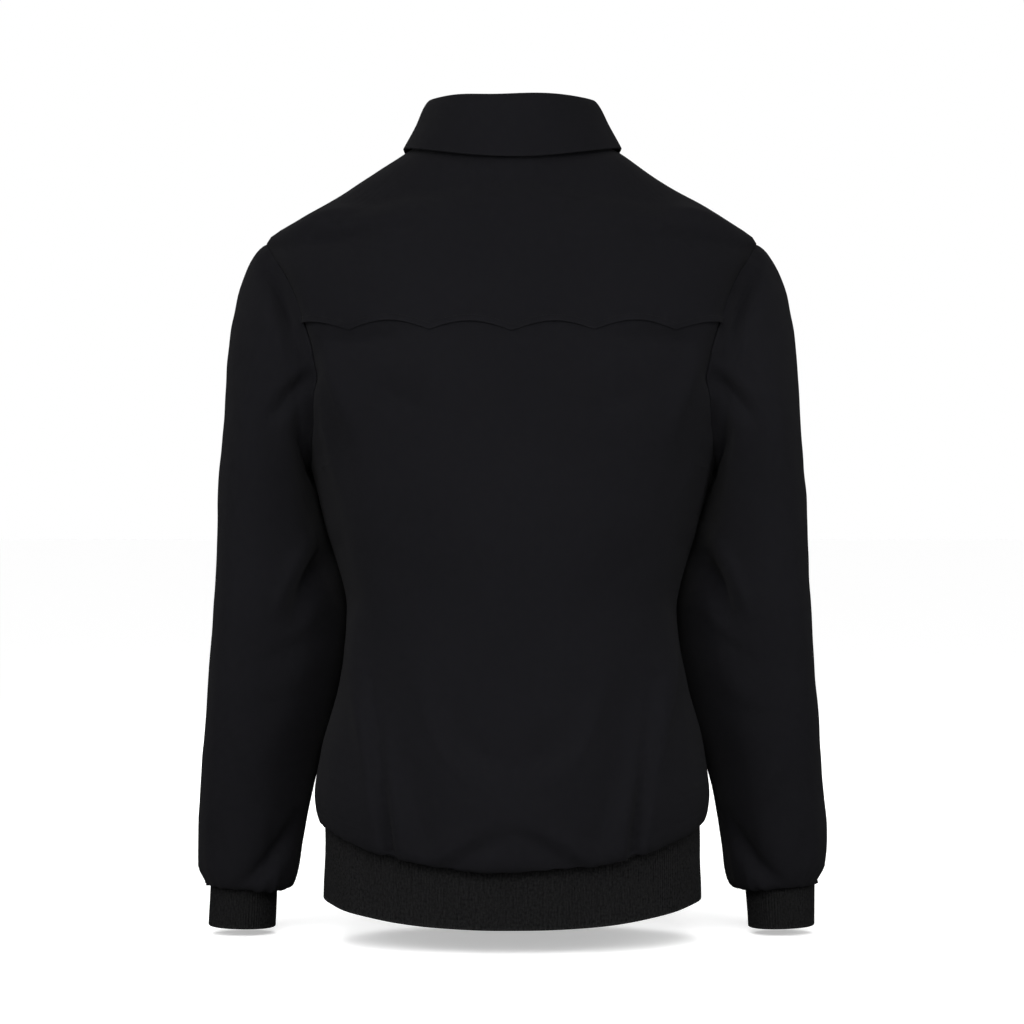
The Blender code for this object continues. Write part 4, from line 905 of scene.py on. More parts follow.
def armhole_seam(turns, side):
    """The body's relief at the armhole as a shift, its normals, and the way from it into the body."""
    place = armhole_place(turns)
    points, normals = lay_on(body_surface, *place, body_relief, side=side)
    tangent = np.roll(points, -1, axis=0) - np.roll(points, 1, axis=0)
    return points - body_surface(*place) * mirror(side), normals, np.cross(tangent, normals) * side


along_sleeve = graded(0.0, SLEEVE_LENGTH, SLEEVE_STEP)
sleeve_grid = np.meshgrid(along_sleeve, sleeve_angles(), indexing="ij")
armhole_line = [grid[0] for grid in sleeve_grid]
set_in = smooth_step(1 - along_sleeve / SET_IN)[:, None, None]
for name, side in SIDES.items():
    points, normals = lay_on(sleeve_surface, *sleeve_grid, sleeve_relief, flip=-1, side=side)
    head = lay_on(sleeve_surface, *armhole_line, flip=-1, side=side)[0]
    shift, body_normals, into_body = armhole_seam(armhole_line[1], side)
    points = points + (head + shift - points[0]) * set_in
    normals[0] = body_normals
    seams = [{"side": "first", "beyond": into_body}]
    mesh = shell(f"sleeve_panel_{name}", points, normals, dip=SLEEVE_DIP, closed=True, seams=seams)
    new_piece(f"sleeve_panel_{name}", mesh, "shell_twill", [f"sleeve_{name}"])
print("cloth of a sleeve:", cloth_area("sleeve_panel_left"), "sq m")

# %% [markdown]
# ## Building with nodes
#
# What repeats hundreds of times is made with Geometry Nodes: ribs, stitches and zip teeth. A node
# tree keeps the rule in one place with named inputs, so a rib's height or a stitch's length can be
# changed without touching a mesh. The tree is built here in the script, put on the piece as a
# modifier, and baked to a plain mesh.


# %% Helpers for node trees
FLOAT, MATERIAL = "NodeSocketFloat", "NodeSocketMaterial"


def add_node(tree, kind, inputs=None, **settings):
    """A node with its settings. Each input is a value, or the output that feeds it."""
    node = tree.nodes.new(kind)
    for name, value in settings.items():
        setattr(node, name, value)
    for key, value in (inputs or {}).items():
        if isinstance(value, bpy.types.NodeSocket):
            tree.links.new(value, node.inputs[key])
        else:
            node.inputs[key].default_value = value
    return node


def math_of(tree, operation, first, second=0.0, third=0.0):
    return add_node(tree, "ShaderNodeMath", {0: first, 1: second, 2: third}, operation=operation).outputs[0]


def named(tree, name, kind="FLOAT"):
    """An attribute of the mesh."""
    return add_node(tree, "GeometryNodeInputNamedAttribute", {"Name": name}, data_type=kind).outputs[0]


def geometry_tree(name, sockets):
    """A Geometry Nodes tree with a geometry input and named inputs; returns it and their sockets."""
    tree = bpy.data.node_groups.new(name, "GeometryNodeTree")
    tree.interface.new_socket("Geometry", in_out="INPUT", socket_type="NodeSocketGeometry")
    tree.interface.new_socket("Geometry", in_out="OUTPUT", socket_type="NodeSocketGeometry")
    for socket, kind in sockets.items():
        tree.interface.new_socket(socket, in_out="INPUT", socket_type=kind)
    return tree, tree.nodes.new("NodeGroupInput").outputs


def end_tree(tree, geometry, material):
    """Every tree ends alike: instances made real, one material set."""
    real = add_node(tree, "GeometryNodeRealizeInstances", {"Geometry": geometry}).outputs[0]
    done = add_node(tree, "GeometryNodeSetMaterial", {"Geometry": real, "Material": material}).outputs[0]
    add_node(tree, "NodeGroupOutput", {0: done})
    return tree


def evaluated_mesh(carrier):
    """The mesh that an object's modifiers make. The object itself is thrown away."""
    bpy.context.view_layer.update()
    depsgraph = bpy.context.evaluated_depsgraph_get()
    mesh = bpy.data.meshes.new_from_object(carrier.evaluated_get(depsgraph), depsgraph=depsgraph)
    bpy.data.objects.remove(carrier)
    return mesh


def bake(mesh, tree, values):
    """Run a tree on a mesh with its inputs set by name, and return a plain mesh."""
    carrier = link_object(mesh.name + "_carrier", mesh)
    modifier = carrier.modifiers.new("tree", "NODES")
    modifier.node_group = tree
    keys = {item.name: item.identifier for item in tree.interface.items_tree if item.in_out == "INPUT"}
    for name, value in values.items():
        modifier[keys[name]] = value
    return evaluated_mesh(carrier)


def rows_mesh(name, rows):
    """A mesh of edges, one chain to a row, for a tree to walk along."""
    points, edges = [], []
    for row in rows:
        first = len(points)
        points += [tuple(p) for p in row]
        edges += [(first + k, first + k + 1) for k in range(len(row) - 1)]
    mesh = bpy.data.meshes.new(name)
    mesh.from_pydata(points, edges, [])
    return mesh


print("helpers ready")

# %% [markdown]
# ## Rib knit for hem and cuffs
#
# Rib knit is stretchy because its stitches stand in columns, one column forward and one back. The
# bands are doubled, folded at the free edge, so that edge is round. We lay a plain band whose
# columns count five to a rib, tell each point which part of a rib it is on, and let the tree raise
# it. The count wanders slightly: hand-fed knit is never ruled.

# %% Rib bands
RIB_CLOTH = 0.0024
RIB_HEIGHT = 0.00085
RIB_SHARPNESS = 0.7
RIB_POINTS = 5              # columns of the grid to a rib
RIB_SWAY = (0.060, 0.0005)  # length and height of the band's own waves
RIB_WANDER = 0.12           # share of a rib by which they stray from true
RIB_FADE = 0.0022           # the ribs die out this near to a rim


def rib_tree():
    """Raises ribs: each point moves out by a rounded profile of its rib phase."""
    sockets = {"Height": FLOAT, "Sharpness": FLOAT, "Material": MATERIAL}
    tree, given = geometry_tree("raise_ribs", sockets)
    turn = math_of(tree, "MULTIPLY", named(tree, "rib_phase"), 2 * math.pi)
    wave = math_of(tree, "MULTIPLY_ADD", math_of(tree, "COSINE", turn), 0.5, 0.5)
    crest = math_of(tree, "POWER", wave, given["Sharpness"])
    strength = math_of(tree, "MULTIPLY", named(tree, "rib_strength"), given["Height"])
    height = math_of(tree, "MULTIPLY", math_of(tree, "SUBTRACT", crest, 1.0), strength)
    way = {0: named(tree, "outward", "FLOAT_VECTOR"), "Scale": height}
    offset = add_node(tree, "ShaderNodeVectorMath", way, operation="SCALE").outputs[0]
    moved = add_node(tree, "GeometryNodeSetPosition", {"Geometry": given[0], "Offset": offset})
    return end_tree(tree, moved.outputs[0], given["Material"])


def even_angles(surface, start, end, ribs):
    """Angles of a band's columns, which divide the length of its first ring evenly."""
    fine = np.linspace(start, end, 8000)
    length = lengths(surface(np.zeros_like(fine), fine))
    return np.interp(np.linspace(0, length[-1], ribs * RIB_POINTS + 1), length, fine)


def rib_band(name, surface, downs, angles, seed, closed=False, flip=1, side=1):
    """A plain band with the attributes that the tree reads."""
    down, angle = np.meshgrid(downs, angles, indexing="ij")
    shift = np.random.default_rng(seed).uniform(0, 2 * math.pi, 4)
    sway = waves(surface(down, angle), Wave(*RIB_SWAY, seed))
    points, normals = lay_on(surface, down, angle, lambda *_: sway, flip=flip, side=side)
    mesh = shell(name, points, normals, thickness=RIB_CLOTH, closed=closed, seams=[{"side": "first"}])
    wander = RIB_WANDER * np.sin(4 * down / downs[-1] + shift[0]) * np.sin(9 * angle + shift[1])
    phase = np.arange(len(angles)) / RIB_POINTS + wander
    room = np.minimum(downs - downs[0], downs[-1] - downs)
    strength = np.broadcast_to(smooth_step(room / RIB_FADE)[:, None], down.shape)
    more = ((len(ALLOWANCE), 0), (0, 0))
    phase, strength = np.pad(phase, more, "edge"), np.pad(strength, more)
    normals = np.pad(normals, more + ((0, 0),), "edge")
    set_attribute(mesh, "rib_phase", [phase, phase])
    set_attribute(mesh, "rib_strength", [strength, np.zeros_like(strength)])
    set_attribute(mesh, "outward", [normals, normals], "FLOAT_VECTOR")
    return mesh


raise_ribs = rib_tree()
rib_values = {"Height": RIB_HEIGHT, "Sharpness": RIB_SHARPNESS, "Material": mats["rib_knit"]}
print("tree ready:", raise_ribs.name)

# %% [markdown]
# The hem is one long band, open at the zip. A cuff is the same band closed to a tube.

# %% Hem and cuffs
HEM_RIBS, CUFF_RIBS = 372, 80
HEM_STEP, CUFF_STEP = 0.010, 0.008
HEM_SEED, CUFF_SEED = 21, 23
hem_end = math.pi - float(zip_angle(np.array(0.0), rings=HEM_RINGS))
hem_angles = even_angles(hem_surface, -hem_end, hem_end, HEM_RIBS)
hem_rows = graded(0.0, HEM_RINGS[-1].down, HEM_STEP)
band = rib_band("hem_knit", hem_surface, hem_rows, hem_angles, HEM_SEED)
new_piece("hem_knit", bake(band, raise_ribs, rib_values), "rib_knit", ["hem_rib"])
cuff_angles = even_angles(cuff_surface, 0, 2 * math.pi, CUFF_RIBS)[:-1]
cuff_rows = graded(0.0, CUFF_LOOPS[-1].along, CUFF_STEP)
for name, side in SIDES.items():
    tube = {"closed": True, "flip": -1, "side": side}
    band = rib_band(f"cuff_knit_{name}", cuff_surface, cuff_rows, cuff_angles, CUFF_SEED + side, **tube)
    new_piece(f"cuff_knit_{name}", bake(band, raise_ribs, rib_values), "rib_knit", [f"cuff_{name}"])
print("knit of the hem:", cloth_area("hem_knit"), "of a cuff:", cloth_area("cuff_knit_left"), "sq m")

# %% [markdown]
# ## Collar
#
# The collar has two parts: a standing band round the neck and a leaf that rolls over it and lies
# down on the shoulders. The band's left end laps over the right, where two buttons hold it. Both
# are two layers with a thin interlining, so they bend in one clean curve and hardly wrinkle.

# %% Collar band and leaf
STAND_RIGHT_END = math.radians(-178)
STAND_LEFT_END = math.radians(194)
STAND_WIDTH, STAND_STEP = 0.47, 0.0034
FALL_END = math.radians(163)
FALL_SPREAD = math.radians(9)       # the leaf's ends part by this much more at its edge
FALL_WIDTH, FALL_STEP = 0.48, 0.0016
COLLAR_WAVE = Wave(0.080, 0.0005, 31)


def collar_relief(_down, _angle, points, _normals):
    return waves(points, COLLAR_WAVE)


stand_downs = graded(0.0, STAND_RINGS[-1].down, STAND_STEP)
stand_angles = STAND_RIGHT_END + (STAND_LEFT_END - STAND_RIGHT_END) * shares(STAND_WIDTH, 0.0040)
laid = lay_on(stand_surface, *np.meshgrid(stand_downs, stand_angles, indexing="ij"), flip=-1)
stand_mesh = shell("collar_band", *laid, thickness=COLLAR_CLOTH, seams=[{"side": "first"}])
new_piece("collar_band", stand_mesh, "shell_twill", ["collar_stand"])

fall_downs = graded(0.0, FALL_RINGS[-1].down, FALL_STEP)
across_fall = both_ways(FALL_WIDTH, ACROSS_STEP)
fall_end = FALL_END - FALL_SPREAD * (fall_downs / fall_downs[-1]) ** 2
fall_grid = spread(fall_downs, across_fall), fall_end[:, None] * across_fall
fall_mesh = shell("collar_leaf", *lay_on(fall_surface, *fall_grid, collar_relief), thickness=COLLAR_CLOTH)
new_piece("collar_leaf", fall_mesh, "shell_twill", ["collar_fall"])
print("cloth of the band:", cloth_area("collar_band"), "of the leaf:", cloth_area("collar_leaf"), "sq m")

# %% [markdown]
# ## Pocket flaps
#
# Each hand pocket has a slanted flap, sewn along the edge nearer the zip and lying down towards the
# side. Its free corners are rounded. To lay it on the front we look for the row and angle under
# each of its points.

# %% Flaps
FLAP_X, FLAP_Z = 0.088, -0.452      # the flap's middle, as seen from in front
FLAP_LENGTH = 0.140
FLAP_WIDTH = 0.046
FLAP_SLANT = math.radians(24)
FLAP_REST = 0.0006          # air under its sewn edge
FLAP_LIFT = 0.0012          # its free edge stands off by this much more
FLAP_CLOTH = 0.0024
FLAP_CORNER = 0.009
FLAP_BUTTON_ACROSS = 0.011


def flap_spot(along, across):
    """x and z of a spot on the slanted flap, from its middle."""
    lean, drop = math.sin(FLAP_SLANT), math.cos(FLAP_SLANT)
    return FLAP_X + along * lean + across * drop, FLAP_Z - along * drop + across * lean


def front_place(x, z):
    """The row and angle where the left front has a given x and z, found step by step."""
    down = np.full_like(x, 0.45)
    angle = np.full_like(x, math.radians(150))
    for _ in range(120):
        spot = body_surface(down, angle)
        down = down + (spot[..., 2] - z) * 0.8
        angle = np.clip(angle + (spot[..., 0] - x) * 5, math.radians(95), math.pi)
    return down, angle


def on_flap(along, across, lift=0.0, side=1):
    """Points and normals on a flap's face, or a little off it."""
    height = FLAP_REST + FLAP_CLOTH + FLAP_LIFT * (across / FLAP_WIDTH + 0.5) ** 2 + lift
    return lay_on(body_surface, *front_place(*flap_spot(along, across)), body_relief, height, side=side)


flap_rows = graded(-FLAP_WIDTH / 2, FLAP_WIDTH / 2, 0.0025)
into_corner = np.clip(flap_rows - (FLAP_WIDTH / 2 - FLAP_CORNER), 0, FLAP_CORNER)
half_length = FLAP_LENGTH / 2 - FLAP_CORNER + np.sqrt(FLAP_CORNER ** 2 - into_corner ** 2)
along_flap = half_length[:, None] * both_ways(FLAP_LENGTH, 0.0032)
across_flap = spread(flap_rows, along_flap[0])
for name, side in SIDES.items():
    mesh = shell(f"flap_{name}", *on_flap(along_flap, across_flap, side=side), thickness=FLAP_CLOTH)
    new_piece(f"flap_{name}", mesh, "shell_twill", [f"pocket_flap_{name}"])
print("cloth of a flap:", cloth_area("flap_left"), "sq m, one layer")

# %% [markdown]
# ## Zip tape and teeth
#
# The tapes lie behind the front edges, and the teeth are clamped on their inner edges. The teeth of
# one side sit half a pitch below those of the other, so that they mesh. We draw the chain's line
# once, from the slider to the box, smooth it where the front bags over the rib, and let a tree
# set a tooth at each step.

# %% Zip tapes
TAPE_INNER_X, TAPE_OUTER_X = 0.0007, 0.0130
TAPE_CLOTH = 0.0007
TAPE_COLUMNS = 9
TAPE_TOP, TAPE_FOOT = 0.0004, 0.0585        # one down the body, the other down the rib
TAPE_SOFTENING, CHAIN_SOFTENING = 4, 9      # points averaged each way
SEAM_SKIP, RIB_SKIP = 0.002, 0.0015         # left out of a line on each side of the hem seam


def middle_line(offset, lift, first_down, last_rib_down, step):
    """Points and normals down the front, a little way off the middle, over body and hem rib."""
    body_downs = np.arange(first_down, HEM_SEAM_DOWN - SEAM_SKIP, step)
    rib_downs = np.arange(RIB_SKIP, last_rib_down, step)
    upper = lay_on(body_surface, body_downs, math.pi - zip_angle(body_downs, offset), body_relief, lift)
    lower = lay_on(hem_surface, rib_downs, math.pi - zip_angle(rib_downs, offset, HEM_RINGS), None, lift)
    return np.concatenate([upper, lower], axis=1)


def softened(line, reach):
    """A line averaged over a number of points each way, its ends kept."""
    padded = np.concatenate([2 * line[:1] - line[reach:0:-1], line, 2 * line[-1:] - line[-2:-reach - 2:-1]])
    weight = np.hanning(2 * reach + 3)[1:-1]
    weight /= weight.sum()
    return np.stack([np.convolve(padded[:, k], weight, "valid") for k in range(3)], axis=-1)


tape_lines = [middle_line(offset, -(SHELL_CLOTH + GAP), TAPE_TOP, TAPE_FOOT, 0.002)
              for offset in np.linspace(TAPE_OUTER_X, TAPE_INNER_X, TAPE_COLUMNS)]
tape_outer, tape_normals = (
    np.stack([softened(line[kind], TAPE_SOFTENING) for line in tape_lines], axis=1) for kind in (0, 1)
)
tape_inner = tape_outer - tape_normals * TAPE_CLOTH
for name, side in SIDES.items():
    mesh, places = grid_mesh(f"tape_{name}", tape_outer * mirror(side), tape_inner * mirror(side))
    set_cloth_map(mesh, cloth_map(tape_outer, False), places)
    set_attribute(mesh, "edge", np.zeros(len(mesh.vertices)))
    new_piece(f"tape_{name}", mesh, "zip_tape", [f"zip_tape_{name}"])
print("tape:", cloth_area("tape_left"), "sq m")

# %% [markdown]
# A tooth is a base that grips the tape, and a rounded head with a waist behind it. We draw its
# sections from base to head, and the tree does the rest.

# %% Zip teeth
SLIDER_DOWN, BOX_DOWN = 0.0165, 0.050       # one down the body, the other down the rib
SLIDER_HALF = 0.004         # half of its length
TOOTH_PITCH = 0.0022
CHAIN_LIFT = -0.0011
Section = namedtuple("Section", "x width half_depth")
TOOTH_SECTIONS = [
    Section(0.0030, 0.55, 0.00125),
    Section(0.0021, 0.55, 0.00125),
    Section(0.0012, 0.42, 0.00125),
    Section(0.0004, 0.36, 0.00105),
    Section(-0.0002, 0.48, 0.00105),
    Section(-0.0008, 0.34, 0.00105),
]
TOOTH_HALF = TOOTH_PITCH * 0.62
CORNERS = [(-1, -1), (1, -1), (1, 1), (-1, 1)]


def mesh_of(name, shape):
    """A mesh from a shape, its faces turned outwards."""
    bmesh.ops.recalc_face_normals(shape, faces=shape.faces)
    mesh = bpy.data.meshes.new(name)
    shape.to_mesh(mesh)
    shape.free()
    return mesh


def tooth_mesh():
    shape = bmesh.new()
    rings = []
    for x, width, deep in TOOTH_SECTIONS:
        rings.append([shape.verts.new((x, deep * a, TOOTH_HALF * width * b)) for a, b in CORNERS])
    for first, second in zip(rings, rings[1:]):
        for k in range(4):
            shape.faces.new([first[k], first[(k + 1) % 4], second[(k + 1) % 4], second[k]])
    shape.faces.new(rings[0][::-1])
    shape.faces.new(rings[-1])
    return mesh_of("zip_tooth", shape)


def teeth_tree():
    """Sets a tooth at every point of a line, turned to its attribute."""
    tree, given = geometry_tree("set_teeth", {"Tooth": "NodeSocketObject", "Material": MATERIAL})
    tooth = add_node(tree, "GeometryNodeObjectInfo", {"Object": given["Tooth"]}).outputs["Geometry"]
    points = add_node(tree, "GeometryNodeMeshToPoints", {"Mesh": given[0]}).outputs[0]
    inputs = {"Points": points, "Instance": tooth, "Rotation": named(tree, "turn", "FLOAT_VECTOR")}
    placed = add_node(tree, "GeometryNodeInstanceOnPoints", inputs).outputs[0]
    return end_tree(tree, placed, given["Material"])


def read_line(steps, distance, values):
    return np.stack([np.interp(steps, distance, values[:, k]) for k in range(3)], axis=-1)


chain = middle_line(0.0, CHAIN_LIFT, SLIDER_DOWN + SLIDER_HALF, BOX_DOWN, 0.001)[0]
chain = softened(chain, CHAIN_SOFTENING)
chain_length = lengths(chain)
tooth_rows, tooth_turns = [], []
for side, shift in ((1, 0.0), (-1, 0.5)):
    steps = np.arange(shift * TOOTH_PITCH, chain_length[-1], TOOTH_PITCH)
    slopes = read_line(steps, chain_length, np.gradient(chain, axis=0))
    lean = np.arctan2(slopes[:, 1], -slopes[:, 2])
    about = np.full_like(lean, 0.0 if side > 0 else math.pi)
    tooth_rows.append(read_line(steps, chain_length, chain))
    tooth_turns.append(np.stack([lean * side, np.zeros_like(lean), about], axis=-1))
teeth_points = rows_mesh("zip_teeth_points", tooth_rows)
set_attribute(teeth_points, "turn", np.concatenate(tooth_turns), "FLOAT_VECTOR")
tooth = bpy.data.objects.new("zip_tooth", tooth_mesh())
teeth_values = {"Tooth": tooth, "Material": mats["zip_metal"]}
new_piece("zip_teeth", bake(teeth_points, teeth_tree(), teeth_values), "zip_metal")
bpy.data.objects.remove(tooth)
print("zip:", sum(map(len, tooth_rows)), "teeth over", round(float(chain_length[-1]), 3), "m")

# %% [markdown]
# A top stop is a small clamp that is nipped on the edge of each tape, so that the slider can't run
# off. A cube with every edge rounded is enough at this size.

# %% Top stops
STOP_DOWN = 0.0085          # above the closed slider
STOP_OFF = 0.0019           # from the middle line
STOP_SIZE = (0.0022, 0.0021, 0.0038)
STOP_EDGE = 0.00045

stop_line = middle_line(0.0, CHAIN_LIFT, STOP_DOWN, 0.003, 0.001)[0][:5]
stop_lean = math.atan2(stop_line[-1, 1] - stop_line[0, 1], stop_line[0, 2] - stop_line[-1, 2])
stops = bmesh.new()
for side in SIDES.values():
    place = Matrix.Translation(Vector(stop_line.mean(0)) + Vector((side * STOP_OFF, 0, 0)))
    turn = Matrix.Rotation(stop_lean, 4, "X") @ Matrix.Diagonal((*STOP_SIZE, 1.0))
    bmesh.ops.create_cube(stops, size=1.0, matrix=place @ turn)
bmesh.ops.bevel(stops, geom=stops.edges[:], offset=STOP_EDGE, segments=3, profile=0.5, affect="EDGES")
stop_mesh = mesh_of("zip_top_stops", stops)
stop_mesh.shade_smooth()
new_piece("zip_top_stops", stop_mesh, "zip_metal")

# %% [markdown]
# ## Buttons
#
# The buttons are turned, with a raised rim, a dished face and four holes, and they are sewn on with
# a cross of thread. We turn a profile round an axis and cut the holes with a boolean, since the
# holes must be real: at this size they are what makes a disc look like a button.

# %% Buttons
BUTTON_THICK = 0.0026
BUTTON_CLEAR = 0.0005       # between cloth and button
FLAP_BUTTON_RADIUS, BAND_BUTTON_RADIUS = 0.0075, 0.0065
BAND_BUTTON_DOWNS = {"lower": 0.0125, "upper": 0.0295}
BAND_BUTTON_TURN = math.radians(185)
HOLE_RADIUS = 0.00085
HOLE_OFF = 0.0016
BUTTON_STEPS, HOLE_STEPS = 56, 14
BUTTON_PROFILE = [          # shares of the radius and of half the thickness, from back to front
    (0.0, -1.0), (0.80, -1.0), (0.93, -0.72), (1.0, -0.15), (1.0, 0.35), (0.965, 0.80), (0.90, 1.0),
    (0.80, 0.92), (0.70, 0.45), (0.60, 0.25), (0.0, 0.18),
]
button_places = []


def button_mesh(name, radius):
    """A button about the origin, its face towards +Z."""
    shape = bmesh.new()
    line = [shape.verts.new((out * radius, 0, up * BUTTON_THICK / 2)) for out, up in BUTTON_PROFILE]
    edges = [shape.edges.new(pair) for pair in zip(line, line[1:])]
    bmesh.ops.spin(shape, geom=line + edges, axis=(0, 0, 1), angle=2 * math.pi, steps=BUTTON_STEPS)
    bmesh.ops.remove_doubles(shape, verts=shape.verts, dist=1e-6)
    return mesh_of(name, shape)


def drill_mesh():
    shape = bmesh.new()
    size = {"radius1": HOLE_RADIUS, "radius2": HOLE_RADIUS, "depth": 4 * BUTTON_THICK}
    for x in (-HOLE_OFF, HOLE_OFF):
        for y in (-HOLE_OFF, HOLE_OFF):
            place = Matrix.Translation((x, y, 0))
            bmesh.ops.create_cone(shape, cap_ends=True, segments=HOLE_STEPS, matrix=place, **size)
    return mesh_of("button_drill", shape)


def add_button(name, node, place, outward, radius):
    """A drilled button that stands just off the cloth."""
    blank = link_object(name + "_blank", button_mesh(name + "_blank", radius))
    drill = link_object("drill", drill_mesh())
    cut = blank.modifiers.new("holes", "BOOLEAN")
    cut.operation, cut.object, cut.solver = "DIFFERENCE", drill, "EXACT"
    mesh = evaluated_mesh(blank)
    bpy.data.objects.remove(drill)
    mesh.name = name
    out = Vector(outward).normalized()
    turn = Vector((0, 0, 1)).rotation_difference(out).to_matrix().to_4x4()
    seat = Matrix.Translation(Vector(place) + out * (BUTTON_CLEAR + BUTTON_THICK / 2)) @ turn
    mesh.transform(seat)
    mesh.shade_smooth()
    mesh.set_sharp_from_angle(angle=math.radians(50))
    button_places.append(seat)
    new_piece(name, mesh, "button", [node])


flap_face, flap_out = on_flap(np.array([0.0]), np.array([FLAP_BUTTON_ACROSS]))
for name, side in SIDES.items():
    seat = flap_face[0] * mirror(side), flap_out[0] * mirror(side)
    add_button(f"flap_button_{name}", f"pocket_button_{name}", *seat, FLAP_BUTTON_RADIUS)
for name, down in BAND_BUTTON_DOWNS.items():
    seat = lay_on(stand_surface, np.array(down), np.array(BAND_BUTTON_TURN), flip=-1)
    add_button(f"band_button_{name}", f"collar_button_{name}", *seat, BAND_BUTTON_RADIUS)

# %% [markdown]
# ## Sewing
#
# Thread is what makes panels into a garment. A row of stitches is a line drawn on the cloth; the
# tree walks along it and lays a short, rounded piece of thread at each step, half sunk. The rows
# are those that a maker would run: above the yoke's edge, beside the zip, and round the flaps.

# %% Stitch tree
def stitch_tree():
    """Lays a capsule of thread along every row of a mesh of edges."""
    sockets = {"Pitch": FLOAT, "Length": FLOAT, "Radius": FLOAT, "Material": MATERIAL}
    tree, given = geometry_tree("lay_stitches", sockets)
    curve = add_node(tree, "GeometryNodeMeshToCurve", {"Mesh": given[0]}).outputs[0]
    walk = {"Curve": curve, "Length": given["Pitch"]}
    even = add_node(tree, "GeometryNodeResampleCurve", walk, mode="LENGTH").outputs[0]
    along = add_node(tree, "GeometryNodeInputTangent").outputs[0]
    turn = add_node(tree, "FunctionNodeAlignRotationToVector", {"Vector": along}, axis="Z").outputs[0]
    size = {"Vertices": 6, "Side Segments": 3, "Radius": given["Radius"], "Depth": given["Length"]}
    rod = add_node(tree, "GeometryNodeMeshCylinder", size, fill_type="TRIANGLE_FAN").outputs[0]
    spot = add_node(tree, "GeometryNodeInputPosition").outputs[0]
    height = add_node(tree, "ShaderNodeSeparateXYZ", {0: spot}).outputs[2]
    end = math_of(tree, "DIVIDE", height, math_of(tree, "MULTIPLY", given["Length"], 0.5))
    sharp = math_of(tree, "POWER", math_of(tree, "ABSOLUTE", end), 4.0)
    slim = math_of(tree, "MULTIPLY_ADD", sharp, -0.5, 1.0)
    thin = add_node(tree, "ShaderNodeCombineXYZ", {0: slim, 1: slim, 2: 1.0}).outputs[0]
    round_spot = add_node(tree, "ShaderNodeVectorMath", {0: spot, 1: thin}, operation="MULTIPLY").outputs[0]
    rod = add_node(tree, "GeometryNodeSetPosition", {"Geometry": rod, "Position": round_spot}).outputs[0]
    inputs = {"Points": even, "Instance": rod, "Rotation": turn}
    placed = add_node(tree, "GeometryNodeInstanceOnPoints", inputs).outputs[0]
    smooth = add_node(tree, "GeometryNodeSetShadeSmooth", {0: placed}).outputs[0]
    return end_tree(tree, smooth, given["Material"])


lay_stitches = stitch_tree()


def sew(name, rows, pitch, length, radius, slot):
    """A piece of stitches along rows of points."""
    values = {"Pitch": pitch, "Length": length, "Radius": radius, "Material": mats["thread"]}
    new_piece(name, bake(rows_mesh(name + "_rows", rows), lay_stitches, values), slot)


print("tree ready:", lay_stitches.name)

# %% [markdown]
# Round a flap the row runs down one side, round a corner, along the free edge and up the other
# side. A second row holds the sewn edge.

# %% Stitch rows
STITCH_PITCH = 0.0030
STITCH_LENGTH = 0.0022
THREAD = 0.00022            # radius
STITCH_RISE = THREAD * 0.3  # of the thread's middle, so that part of it is sunk
YOKE_ROW_END = 0.985
ZIP_STITCH_X = 0.0095
FLAP_INSET = 0.006
FLAP_STITCH_BEND = 0.004
FLAP_ROOT_INSET = 0.0035
OTHER_SIDE = mirror(-1)


def flap_path(half_long, half_wide, bend):
    """Along and across the flap, from its sewn edge round the free one and back."""
    down_side = [(-half_long, y) for y in np.linspace(-FLAP_WIDTH / 2 + 0.002, half_wide - bend, 24)]
    for a in np.linspace(0, math.pi / 2, 12):
        down_side.append((-half_long + bend * (1 - math.cos(a)), half_wide - bend * (1 - math.sin(a))))
    edge = [(x, half_wide) for x in np.linspace(-half_long + bend, half_long - bend, 80)[1:-1]]
    return np.array(down_side + edge + [(-x, y) for x, y in down_side[::-1]]).T


yoke_share = np.linspace(-YOKE_ROW_END, YOKE_ROW_END, 400)
yoke_line = yoke_down(yoke_share, YOKE_STITCH)
yoke_place = yoke_line, back_edge(yoke_line) * yoke_share
yoke_row = lay_on(body_surface, *yoke_place, yoke_relief, YOKE_REST + YOKE_CLOTH + STITCH_RISE)[0]
zip_downs = np.linspace(0.003, HEM_SEAM_DOWN - 0.004, 400)
zip_turns = math.pi - zip_angle(zip_downs, ZIP_STITCH_X)
zip_row = lay_on(body_surface, zip_downs, zip_turns, body_relief, STITCH_RISE)[0]
half_long = FLAP_LENGTH / 2 - FLAP_INSET
flap_row = on_flap(*flap_path(half_long, FLAP_WIDTH / 2 - FLAP_INSET, FLAP_STITCH_BEND), STITCH_RISE)[0]
root = np.linspace(-half_long, half_long, 80), np.full(80, -FLAP_WIDTH / 2 + FLAP_ROOT_INSET)
root_row = on_flap(*root, STITCH_RISE)[0]
stitch_rows = [yoke_row]
for row in (zip_row, flap_row, root_row):
    stitch_rows += [row, row * OTHER_SIDE]
sew("topstitching", stitch_rows, STITCH_PITCH, STITCH_LENGTH, THREAD, "shell_twill")

# %% [markdown]
# A buttonhole is a slit whose two lips are bound with stitches side by side. It is a little longer
# than its button is wide, so its end shows past the rim. We lay each stitch as a short row of its
# own across the lip, all round the slit.

# %% Buttonholes
HOLE_LIP = 0.0011           # width of a bound lip
HOLE_STITCH = 0.00042       # from one binding stitch to the next
HOLE_RAISE = 0.00012
SLIT_HALF, SLIT_TIP = 0.00025, 0.0003       # half width of the slit, beside and at its ends
FLAP_HOLE, BAND_HOLE = 0.0180, 0.0160       # lengths
BINDING = (0.0006, 0.0008, 0.00019)         # pitch, length and radius of its stitches


